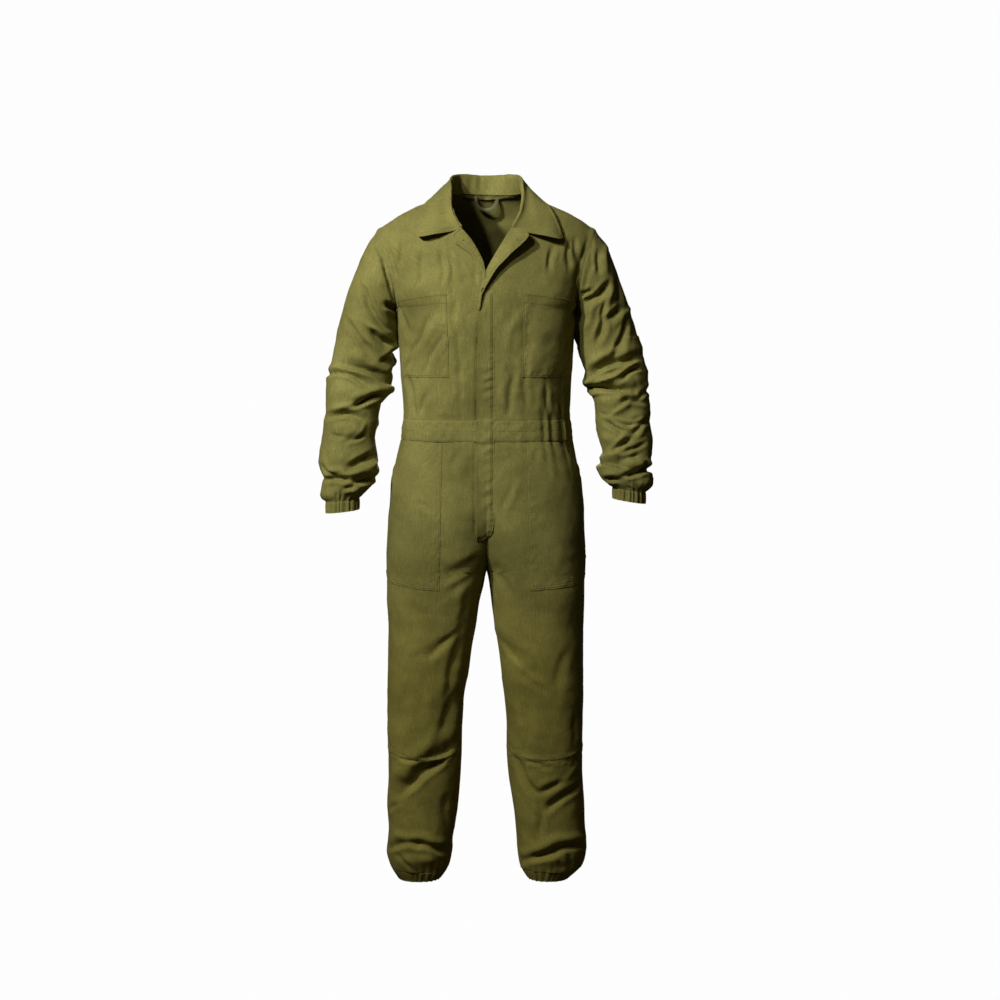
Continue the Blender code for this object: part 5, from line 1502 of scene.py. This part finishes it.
for side in SIDES:
    low, high = CHEST_POCKET_LEVELS
    v = low + (high - low) * shares(190, CELL * 0.8)
    edge, inner = (meeting_angle(side, v, outline)[:, None] for outline in (NECKLINE, CHEST_POCKET))
    start, end = (inner - edge) / (90 - edge), (CHEST_POCKET_OUTER - edge) / (90 - edge)
    u = start + (end - start) * shares(125, CELL * 0.8)
    top = high - POCKET_SLANT * (u - u[:, :1]) / (u[:, -1:] - u[:, :1])
    slanted = low + (v[:, None] - low) * (top - low) / (high - low)
    pocket = patch(fronts[side], slanted, u, ("top", "first", "last"), belly=1.0)
    hem = pocket.from_edge("bottom")
    mouth = np.exp(-hem / 2.5) + 0.12 * eased((POCKET_HEM - 1 - hem) / 4)
    pocket = pocket.raised(mouth - 0.2 * bell(hem - POCKET_HEM, 1.2) - 0.2 * bell(hem - 4, 1.2))
    lines = seam_lines(pocket, ("top", "first", "last"), 2)
    lines += seam_lines(pocket, ("bottom",), POCKET_HEM - 1.5)
    cloth_piece(f"chest_pocket_{side}", pocket, lines, thickness=1.5, rests=[f"front_{side}_cloth"])

    top = WAIST_BOTTOM - 1
    v = rows_between(top, HIP_POCKET_BOTTOM, CELL)
    dense = np.linspace(0, 180, 721)
    wide = np.interp(v, (HIP_POCKET_BOTTOM, WAIST_BOTTOM), HIP_POCKET[side][::-1])
    inner = [np.interp(-w, -leg(side, dense, z)[:, 0], dense) for w, z in zip(wide, v)]
    inner = (np.array(inner) / seam_angle(side, v, 1))[:, None]
    v = v[:, None]
    open_part = np.clip((v - HIP_MOUTH_BOTTOM) / (WAIST_BOTTOM - HIP_MOUTH_BOTTOM), 0, 1)
    mouth = inner * HIP_MOUTH_SHARE * open_part
    u = mouth + (inner - mouth) * shares(150, CELL)
    low = HIP_POCKET_BOTTOM + HIP_SLANT * np.clip(1 - u / inner, 0, 1) ** 1.3
    slanted = top + (v - top) * (low - top) / (HIP_POCKET_BOTTOM - top)
    pocket = patch(uppers[side], slanted, np.maximum(u, 0.004), ("bottom", "last"), belly=1.6)
    gape = eased((v - HIP_MOUTH_BOTTOM) / 40) * eased((WAIST_BOTTOM - 4 - v) / 40)
    pocket = pocket.raised(2.6 * np.exp(-pocket.from_edge("first") / 12) * gape)
    cloth_piece(f"hip_pocket_{side}", pocket, seam_lines(pocket, ("bottom", "last", "first"), 2, 8),
                thickness=1.5, rests=[f"leg_front_upper_{side}_cloth"])

# %% [markdown]
# ## The covered fly
# A strip of cloth runs down the middle over the closure, from the lapels across the waistband to
# the crotch. It is the folded edge of the left front, so its right edge stands free by a few
# millimetres, and its left edge is a line of stitches that pulls small puckers.

# %% Fly strip
FLY_HALF_WIDTH, FLY_BOTTOM = 18.5, -708
FLY_EDGE = table("z left right", """
-708 -22.5 -8; -704 -22.5 2; -697 -22.5 9; -686 -22.5 14; -670 -22.5 16; -450 -20.5 16
-290 -18.5 16; -262 -17 16; -216 -15.5 16; -189 -13.5 16; -167 -8.5 16; -152 -2 16
""")


def middle_surface(x, z):
    """Points of the body and the trousers near the middle of the front, at a given x and z."""
    body_level = (z - WAIST_TOP) / (ARMPIT_Z - WAIST_TOP)
    rise, high = np.clip((z - ARMPIT_Z) / (SHOULDER_CREST - ARMPIT_Z), 0, 1), z > ARMPIT_Z
    level = np.where(high, 1 + np.arccos(1 - 2 * rise) / np.pi, body_level)
    depth = np.where(high, -torso(0 * z, level)[..., 1], through(TORSO, "front", z))
    wide = np.where(high, ARMPIT_X, through(TORSO, "half_width", z))
    y_body = -depth * (1 - np.abs(x / wide) ** SQUARENESS) ** (1 / SQUARENESS)
    y_leg = []
    for row, level in zip(x, z):
        line = leg("left", np.linspace(60, 180, 481), level[0])
        y_leg.append(np.interp(-np.abs(row), -line[:, 0], line[:, 1]))
    return xyz(x, np.where(z > WAIST_BOTTOM, y_body, np.array(y_leg)), z)


v = rows_between(FLY_EDGE["z"][-1], FLY_BOTTOM, 2.8)
u = shares(2 * FLY_HALF_WIDTH, 2.2)
from_x, to_x = (np.interp(v, FLY_EDGE["z"], FLY_EDGE[key])[:, None] for key in ("left", "right"))
x = from_x + (to_x - from_x) * u
points = middle_surface(x, v[:, None] + 0 * x)
bare = Panel(points, points * (1, 1, 0), v, u)
height = blurred(fold_heights(points, bare.normals, body_folds, 5) * 0.6, False)
height += wear(points, 25) * 0.8
down = -v[:, None]
sewn_side = np.minimum(bare.from_edge("last"), bare.from_edge("bottom") + 0.5)
pucker = np.sin(2 * np.pi * (down / 11 + 0.35 * np.sin(down / 31))) * (0.6 + 0.4 * np.sin(down / 47))
height += 0.4 * pucker * bell(sewn_side - 5, 5)
slack = np.sin(2 * np.pi * (down / 25 + 0.3 * np.sin(down / 29) + x / 90))
slack = slack * bell(bare.from_edge("last") - 13, 10) * eased((down - 285) / 50)
height += 1.1 * slack * (0.6 + 0.4 * np.sin(down / 19 + 1))
height += 0.3 + 2.3 * eased(sewn_side / 9) + 1.3 * np.exp(-bare.from_edge("first") / 5)
height -= 0.5 * bell(sewn_side - 2.5, 1.3)
height = height * eased((down - 162) / 26) - 1.5 * eased((188 - down) / 26)      # under the lapels
height += 2.0 * eased((down - 444) / 6) * eased((502 - down) / 6)                # over the band
height -= 0.8 * bell(down - 499, 1.6) + 0.6 * bell(down - 448, 1.6)
fly = bare.raised(height)
lines = seam_lines(fly, ("last",), 2, 7) + seam_lines(fly, ("bottom",), 2)
lies_on = ["front_right_cloth", "waistband_front_right_cloth", "leg_front_upper_right_cloth"]
cloth_piece("fly_strip", fly, lines, thickness=2.4, rests=lies_on)

# %% [markdown]
# ## Collar and lapels
# The collar is one piece of double cloth: it stands up from the neck seam, folds over and falls to
# the points of the leaf. The lapels are the upper corners of the fronts, rolled back. Both are
# lofted: a few rows of points are worked out along the neck, and a smooth curve passes through them.

# %% Collar
COLLAR_TOP = table("t inwards off", """
0 22 39; 0.1 21 40; 0.22 18 40; 0.32 16 38; 0.44 12.5 32; 0.55 8 25; 0.65 5.5 17.5
0.75 4 11.5; 0.87 3.2 7.5; 1 2.6 5
""")
COLLAR_EDGE = table("t share_right share_left height lift", """
0 0 0 1.27 3; 0.15 0.155 0.155 1.26 3; 0.3 0.31 0.305 1.19 2.5; 0.46 0.43 0.41 1.03 3.5
0.62 0.52 0.505 0.91 6; 0.8 0.595 0.61 0.785 8; 1 0.655 0.735 0.63 9
""")
COLLAR_CLOTH, COLLAR_TURN, COLLAR_BOW = 2.2, 1.3, 2.5


def over_body(side, share, height):
    """Point and normal over the shoulder: height 0 is the armpit's level in front, 1 the shoulder
    seam and 2 the armpit's level behind; share runs from the middle to the armhole."""
    ahead_level, angle = 1 + np.minimum(height, 1), 90 * share
    edge = meeting_angle(side, ahead_level, NECKLINE)
    ahead, ahead_way = fronts[side].at(ahead_level, np.clip((angle - edge) / (90 - edge), 0, 1))
    turned = np.where(SIDES[side] < 0, 180 + angle, 180 - angle)
    behind, behind_way = back.at(3 - np.maximum(height, 1), turned)
    height = height[..., None]
    seam = (height > 0.97) & (height < 1.03)
    way = np.where(seam, ahead_way + behind_way, np.where(height <= 1, ahead_way, behind_way))
    return np.where(height <= 1, ahead, behind), unit(way)


def evened(line, ways, count):
    """A line and its normals at so many even shares of its length, and those shares."""
    gone, t = lengths(line), np.linspace(0, 1, count)
    return curve(gone / gone[-1], line, t), unit(curve(gone / gone[-1], ways, t)), t


def neck_seam(side, count):
    """The collar's seam from the centre back to the gorge, with its normals and share of length."""
    turned = 180 - SIDES[side] * 90 * NECK_SHARE * np.linspace(0, 1, 40)
    behind, behind_way = back.at(2.0 + 0 * turned, turned)
    levels = np.linspace(2, GORGE_LEVEL, 40)[1:]
    ahead, ahead_way = fronts[side].at(levels, 0 * levels)
    ways = np.concatenate([behind_way, ahead_way])
    return evened(smoothed(np.concatenate([behind, ahead]), 12), smoothed(ways, 12, unit), count)


def loft(rows, at):
    """A smooth sheet through rows of points: the rows' places are their mean distances."""
    gaps = np.linalg.norm(np.diff(rows, axis=0), axis=-1).mean(1)
    places = np.insert(np.cumsum(gaps), 0, 0)
    return curve(places, rows, np.asarray(at) * places[-1]), places / places[-1]


halves = []
for side in SIDES:
    seam, seam_way, t = neck_seam(side, 80)
    inwards = unit(np.cross(np.gradient(seam, axis=0), seam_way)) * SIDES[side]
    fold = seam + inwards * through(COLLAR_TOP, "inwards", t, "t")[:, None]
    fold = fold + seam_way * through(COLLAR_TOP, "off", t, "t")[:, None]
    keys = (f"share_{side}", "height", "lift")
    share, height, lift = (through(COLLAR_EDGE, key, t, "t") for key in keys)
    tip, tip_way = over_body(side, share, height)
    rise = unit(fold - seam)
    out = unit(seam_way - rise * (seam_way * rise).sum(-1, keepdims=True))
    core = fold - rise * (COLLAR_TURN + COLLAR_CLOTH)
    foot = seam + inwards * 0.6
    rows = [
        foot - seam_way * COLLAR_CLOTH,
        foot + (core - out * COLLAR_TURN - foot) * 0.5 - out * COLLAR_CLOTH,
        core - out * (COLLAR_TURN + COLLAR_CLOTH),
        fold - out * 1.2,
        fold + out * 1.2,
        core + out * (COLLAR_TURN + COLLAR_CLOTH),
    ]
    last = tip + tip_way * lift[:, None]
    for share_down, bow in ((0.36, 1.0), (0.7, 0.9)):
        bulge = out * (COLLAR_BOW * bow * eased(1.6 - 1.2 * t) + 22 * t**8)[:, None]
        rows.append(rows[5] + (last - rows[5]) * share_down + bulge)
    rows.append(last)
    halves.append(np.stack(rows))
rows = np.concatenate([halves[0][:, ::-1], halves[1][:, 1:]], axis=1)
fine = np.unique([*np.linspace(0, 1, 46), 0.012, 0.975, 0.988])
points, stations = loft(rows, fine)
guide = np.zeros_like(points)
fall = fine > stations[4]
guide[fall] = points[fall] - (0, 0, -60)
collar = Panel(points, guide, fine, np.linspace(0, 1, points.shape[1]))
edge = collar.near("bottom", "first", "last")
on_fall = eased((fine[:, None] - stations[4]) / 0.06)
height = on_fall * (0.9 * ripple(points, 70, 71) - 0.35 * bell(edge - 7.5, 1.4))
height += on_fall * 0.3 * bell(edge - 3.5, 2.2)
stand = (1 - on_fall) * 1.1 * ripple(points * (1, 1, 0.25), 22, 72)
height += stand * np.sin(np.pi * np.clip(fine[:, None] / stations[4], 0, 1))
collar = collar.raised(height)
sewn_edge = np.where(fine[:, None] > stations[4], edge, 900) - 7.5
cloth_piece("collar", collar, [sewn_edge, *seam_lines(collar, ("top",), 3)], thickness=TWO_LAYERS,
            rests=["front_right_cloth", "front_left_cloth", "back_cloth"])

# %% Lapels
LAPELS = dict(
    right=table("t edge_x edge_z lift", """
0 -73 -57 6; 0.18 -69.5 -70 5; 0.42 -52 -83 5; 0.65 -30 -101 4.5; 0.85 -13 -125 4
1 -2 -154 3.5
"""),
    left=table("t edge_x edge_z lift", """
0 79 -49 15; 0.12 85.5 -62 20; 0.28 65 -84 20; 0.44 38 -110 18; 0.58 16 -136 15; 0.7 2 -159 11
0.8 -6 -176 8; 0.9 -12 -197 6; 1 -15 -214 3.5
"""),
)
LAPEL_CLOTH, LAPEL_TURN = 1.6, 1.5


def on_front(x, z):
    """Point and normal of the front surface at a place given as seen from the front, by Newton
    steps on the torso's angle and level."""
    angle, level = np.abs(x) / ARMPIT_X * 80, 1 + np.clip((z - ARMPIT_Z) / 400, 0, 0.9)
    for _ in range(30):
        here = torso(angle, level)
        across = (torso(angle + 0.1, level) - here) / 0.1
        up = (torso(angle, level + 0.001) - here) / 0.001
        dx, dz = np.abs(x) - here[..., 0], z - here[..., 2]
        size = across[..., 0] * up[..., 2] - up[..., 0] * across[..., 2]
        angle = np.clip(angle + (dx * up[..., 2] - dz * up[..., 0]) / size, 0, 85)
        level = np.clip(level + (dz * across[..., 0] - dx * across[..., 2]) / size, 0.8, 1.95)
    turned = xyz(np.where(x < 0, -1, 1), 1, 1)
    here = torso(angle, level)
    way = unit(np.cross(torso(angle + 0.1, level) - here, torso(angle, level + 0.001) - here))
    return here * turned, way * turned


lapels = {}
for side in SIDES:
    levels = np.linspace(GORGE_LEVEL, BREAK_LEVEL + 0.05 * (side == "right"), 48)
    roll, roll_way = fronts[side].at(levels, 0 * levels)
    if side == "left":                                      # it goes on down the free edge of the fly
        z = np.linspace(roll[-1, 2] - 4, -214, 18)
        more, more_way = on_front(np.interp(z, FLY_EDGE["z"], FLY_EDGE["left"]), z)
        roll = np.concatenate([roll, more + more_way * 2.0])
        roll_way = np.concatenate([roll_way, more_way])
    roll, roll_way, t = evened(smoothed(roll), smoothed(roll_way, 6, unit), 64)
    edge_x, edge_z, lift = (through(LAPELS[side], key, t, "t") for key in ("edge_x", "edge_z", "lift"))
    tip, tip_way = on_front(edge_x, edge_z)
    way = tip - roll
    from_edge = -unit(way - roll_way * (way * roll_way).sum(-1, keepdims=True))
    square = unit(np.cross(np.gradient(roll, axis=0), roll_way)) * SIDES[side]
    away = unit(square + (from_edge - square) * eased(3 * t)[:, None])
    core = roll + away * 0.3 + roll_way * LAPEL_TURN
    turn = np.radians((0, 45, 90, 135, 180))
    spokes = [-roll_way * np.cos(angle) + away * np.sin(angle) for angle in turn]
    rows = [core + spoke * (LAPEL_TURN + LAPEL_CLOTH) for spoke in spokes]
    last = tip + tip_way * lift[:, None]
    bow = roll_way * np.minimum(np.linalg.norm(way, axis=-1, keepdims=True) * 0.06, 3)
    rows += [(rows[4] + last) / 2 + bow, last]
    fine = np.unique([*np.linspace(0, 1, 34), 0.97, 0.985])
    points, stations = loft(np.stack(rows), fine)
    guide = np.zeros_like(points)
    guide[fine > stations[4], :, 1] = -1
    panel = Panel(points, guide, fine, t)
    edge = panel.near("bottom", "first")
    height = 0.5 * ripple(points, 40, 81) * eased((fine[:, None] - stations[4]) / 0.1)
    height = height - 0.7 * bell(edge - 7, 1.6) + 0.7 * bell(edge - 3.5, 2)
    lapels[side] = panel.raised(height * eased(panel.from_edge("last") / 6))
    cloth_piece(f"lapel_{side}", lapels[side], [edge - 2, edge - 7], thickness=2.2,
                rests=[f"front_{side}_cloth"])

# %% [markdown]
# ## Band and loop inside the neck
# A band of cloth covers the neck seam inside, and a loop of tape hangs from it.

# %% Neck band and hanger loop
turned = 180 + 90 * NECK_SHARE * np.linspace(-1, 1, 60)
levels = np.linspace(1.966, 1.998, 6)
points, ways = back.at(levels[:, None] + 0 * turned, turned[None] + 0 * levels[:, None])
off = (1.0 + 1.5 * eased((1.998 - levels) / 0.03))[:, None, None]
off = off * (1 - 0.8 * abs(turned[None, :, None] - 180) / 90 / NECK_SHARE)
band = Panel(points - ways * (2.0 + off), -ways, levels, turned)
band = band.raised(0.4 * ripple(band.points, 16, 91))
cloth_piece("neck_band", band, seam_lines(band, ("bottom",), 2.5), thickness=1.0)

low, high = (np.array(corner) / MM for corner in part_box("hanger_loop"))
turn = np.pi * np.linspace(0, 1, 61)
back_levels = np.linspace(1.998, 1.7, 40)
behind, _ = back.at(back_levels, 180 + 0 * back_levels)
hang = high[2] + 13 + (low[2] - high[2] - 9) * np.sin(turn) ** 0.55
path = xyz(
    (low[0] + high[0]) / 2 + (high[0] - low[0] - 7) / 2 * np.cos(turn),
    (np.interp(hang, behind[::-1, 2], behind[::-1, 1]) - 6 + low[1]) / 2 - 4.0 * np.sin(turn),
    hang,
)
ahead = unit(np.gradient(path, axis=0))
broad = unit(np.cross(ahead, (0.0, 1.0, 0.0)))
lay = np.linspace(-1, 1, 7)
bowl = np.array([0, 0.5, 0]) * lay[:, None] ** 2
strip = path[:, None] + broad[:, None] * lay[:, None] * 3.6 + bowl
loop = Panel(strip, strip * 0 + (0, -1, 0), turn, lay)
cloth_piece("hanger_loop", loop, kind="tape", material=tape, held=None)

# %% [markdown]
# ## Stitches
# Every line of stitches is where a field on its piece is zero: the distance from an edge less the
# line's gap. The line is found cell by cell, and short fat threads are laid along it. The top
# button is sewn to the right lapel, and its buttonhole is in the left one.

# %% Lines of stitches
STITCH_PITCH, STITCH_LENGTH, STITCH_HALF, STITCH_RISE = 3.6, 3.0, 0.5, 0.55


def zero_lines(points, ways, field):
    """Ordered points and normals of the lines where a field over a grid is zero. Each cell that the
    line crosses joins two of its sides, and the sides are then followed one after another."""
    above = field >= 0
    along, down = above[:, :-1] != above[:, 1:], above[:-1] != above[1:]
    crossed = along[:-1] * 1 + along[1:] + down[:, :-1] + down[:, 1:]
    neighbours = {}
    for i, j in np.argwhere(crossed == 2):
        sides = {(0, i, j): along[i, j], (0, i + 1, j): along[i + 1, j],
                 (1, i, j): down[i, j], (1, i, j + 1): down[i, j + 1]}
        one, two = (side for side, on in sides.items() if on)
        neighbours.setdefault(one, []).append(two)
        neighbours.setdefault(two, []).append(one)
    found, left = [], set(neighbours)
    starts = sorted(s for s in neighbours if len(neighbours[s]) == 1) + sorted(neighbours)
    for start in starts:
        if start not in left:
            continue
        chain, here = [], start
        while here is not None:
            left.discard(here)
            chain.append(here)
            here = next((s for s in neighbours[here] if s in left), None)
        a = np.array(chain)
        one, two = a[:, 1:], a[:, 1:] + np.where(a[:, :1] == 0, (0, 1), (1, 0))
        one, two = tuple(one.T), tuple(two.T)
        part = (field[one] / (field[one] - field[two]))[:, None]
        found.append([grid[one] * (1 - part) + grid[two] * part for grid in (points, ways)])
    return found


def stitches(line, ways, pitch=STITCH_PITCH, length=STITCH_LENGTH, half=STITCH_HALF):
    """Points and faces of threads along a line: each is a grain of six points, with its ends sunk
    into the cloth."""
    gone = lengths(line)
    centres = np.arange(pitch, gone[-1] - pitch, pitch)

    def pick(grid, at):
        return np.stack([np.interp(at, gone, grid[:, k]) for k in range(3)], -1)

    middle, up = pick(line, centres), unit(pick(ways, centres))
    along = unit(pick(line, centres + length / 2) - pick(line, centres - length / 2))
    across = np.cross(up, along)
    ends = [middle + along * length * s / 2 - up * 0.15 for s in (-1, 1)]
    ring = [middle + way for way in (across * half, up * STITCH_RISE, -across * half, -up * 0.3)]
    points = np.stack([ends[0], *ring, ends[1]], 1).reshape(-1, 3)
    turn = [(1 + k, 1 + (k + 1) % 4) for k in range(4)]
    grain = [(0, b, a) for a, b in turn] + [(5, a, b) for a, b in turn]
    return points, np.array(grain) + 6 * np.arange(len(centres))[:, None, None]


def thread_piece(name, lines, material=None, **sizes):
    """One piece of thread from the stitches of many lines."""
    found = [stitches(line, ways, **sizes) for line, ways in lines]
    starts = np.cumsum([0] + [len(points) for points, _ in found])
    faces = [grains.reshape(-1, 3) + start for (_, grains), start in zip(found, starts)]
    faces = np.concatenate(faces)
    print(f"{name}: {len(faces) // 8} stitches, {len(faces)} triangles")
    points = np.concatenate([points for points, _ in found])
    return mesh_object(name, points, faces, material or thread)


GROUPS = dict(body=("front", "back", "waist", "fly", "chest", "neck"), collar=("collar", "lapel"),
              sleeves=("sleeve", "cuff"), legs=("leg", "hip", "ankle"))
for group, starts in GROUPS.items():
    lines = []
    for name, grid, ways, field in stitched:
        if name.startswith(starts):
            found = [line for line in zero_lines(grid, ways, field) if len(line[0]) > 6]
            lines += [(smoothed(line), up) for line, up in found]
    thread_piece(f"stitches_{group}", lines)

# %% Buttonhole, and the thread that holds the button
def seen_on(panel, x, y):
    """Point and normal where a place in the picture falls on the outer half of a lapel."""
    rows = panel.v > 0.6
    points, ways = panel.points[rows].reshape(-1, 3), panel.normals[rows].reshape(-1, 3)
    px, py = seen(points)
    near = ((px - x) ** 2 + (py - y) ** 2).argmin()
    return points[near], ways[near]


(start, up), (end, _) = seen_on(lapels["left"], 507.5, 233.5), seen_on(lapels["left"], 519.5, 242.3)
middle, along = (start + end) / 2, unit(end - start)
across = np.cross(up, along)
# The slit is a thin dark box laid on the lapel: a painted shadow where the buttonhole opens.
slit_shade_box = middle + up * 1.0 + np.array([along * 6, across * 1.0, -along * 6, -across * 1.0])
box_faces = [(0, 1, 2, 3), (7, 6, 5, 4), (0, 4, 5, 1), (1, 5, 6, 2), (2, 6, 7, 3), (3, 7, 4, 0)]
slit_shade_box = np.concatenate([slit_shade_box, slit_shade_box - up * 2.0])
mesh_object("buttonhole_slit_shade", slit_shade_box, np.array(box_faces), dark_thread_and_slit_shade)
spans = [middle + along * row + across * side * np.linspace(1.5, 3.7, 5)[:, None] + up * 0.2
         for row in np.linspace(-6, 6, 15) for side in (-1, 1)]
lines = [(span, 0 * span + up) for span in spans]
thread_piece("buttonhole_thread", lines, pitch=1.0, length=2.2, half=0.45)

at, up = seen_on(lapels["right"], 463.5, 239.5)
along = unit(np.cross(up, (0.3, 0.0, 1.0)))
across = np.cross(up, along)
spans = [at + one * np.linspace(-2.6, 2.6, 9)[:, None] + two * shift + up * 0.3
         for one, two in ((along, across), (across, along)) for shift in (-0.5, 0.5)]
lines = [(span, 0 * span + up) for span in spans]
thread_piece("button_thread", lines, dark_thread_and_slit_shade, pitch=2.55, length=4.6, half=0.95)

# %% [markdown]
# ## Light and ground
# One small lamp from the upper left throws hard shadows, as in the catalogue studios where such
# suits are shown, and little light comes back from elsewhere. The ground and the sky are near
# white.

# %% Lamps, sky and ground
CHEST, FLOOR, LAMP_AWAY = np.array([0.0, 0.0, -0.15]), -1.53, 2.6      # metres
PAPER_WHITE = (0.985, 0.985, 0.985)


def lamp(name, watts, size, azimuth, elevation):
    """A square lamp that faces the chest, so many degrees to the left of the viewer and up."""
    data = bpy.data.lights.new(name, "AREA")
    data.energy, data.size = watts, size
    made = bpy.data.objects.new(name, data)
    bpy.context.scene.collection.objects.link(made)
    left, up = np.radians(azimuth), np.radians(elevation)
    way = np.array([-np.sin(left) * np.cos(up), -np.cos(left) * np.cos(up), np.sin(up)])
    made.location = CHEST + way * LAMP_AWAY
    made.rotation_euler = (np.pi / 2 - up, 0, -left)


lamp("key", 66.0, 0.15, 39, 31)
lamp("front", 21.0, 0.15, 25, 28)
lamp("behind", 70.0, 0.8, 180, 14)      # it shows the back and lights nothing that faces the viewer

world = bpy.data.worlds.new("studio")
bpy.context.scene.world = world
world.use_nodes = True
sky = world.node_tree.nodes["Background"]
sky.inputs["Color"].default_value = (1.0, 0.84, 0.42, 1)
sky.inputs["Strength"].default_value = 0.04
backdrop = add_node(world, "Background", {"Color": (*PAPER_WHITE, 1)})
ray = add_node(world, "LightPath").outputs["Is Camera Ray"]
chooser = add_node(world, "MixShader", {0: ray, 1: sky.outputs[0], 2: backdrop.outputs[0]})
world.node_tree.links.new(chooser.outputs[0], world.node_tree.nodes["World Output"].inputs[0])

corners = [(-9, -9, FLOOR), (9, -9, FLOOR), (9, 9, FLOOR), (-9, 9, FLOOR)]
ground_mesh = bpy.data.meshes.new("ground")
ground_mesh.from_pydata(corners, [], [(0, 1, 2, 3)])
ground = bpy.data.objects.new("ground", ground_mesh)
bpy.context.scene.collection.objects.link(ground)
paper = bpy.data.materials.new("white studio paper")
paper.use_nodes = True
glow = paper.node_tree.nodes["Principled BSDF"]
for key, value in {"Base Color": (0, 0, 0, 1), "Specular IOR Level": 0.0,
                   "Emission Color": (*PAPER_WHITE, 1), "Emission Strength": 1.0}.items():
    glow.inputs[key].default_value = value
ground_mesh.materials.append(paper)
ground.visible_diffuse = ground.visible_glossy = ground.visible_shadow = False
bpy.context.scene.view_settings.view_transform = "Standard"

for name, (piece, panel, held, rests) in sewn.items():
    wide, long = float(panel.across[:, -1].max()), float(panel.down[-1].max())
    panel.area()
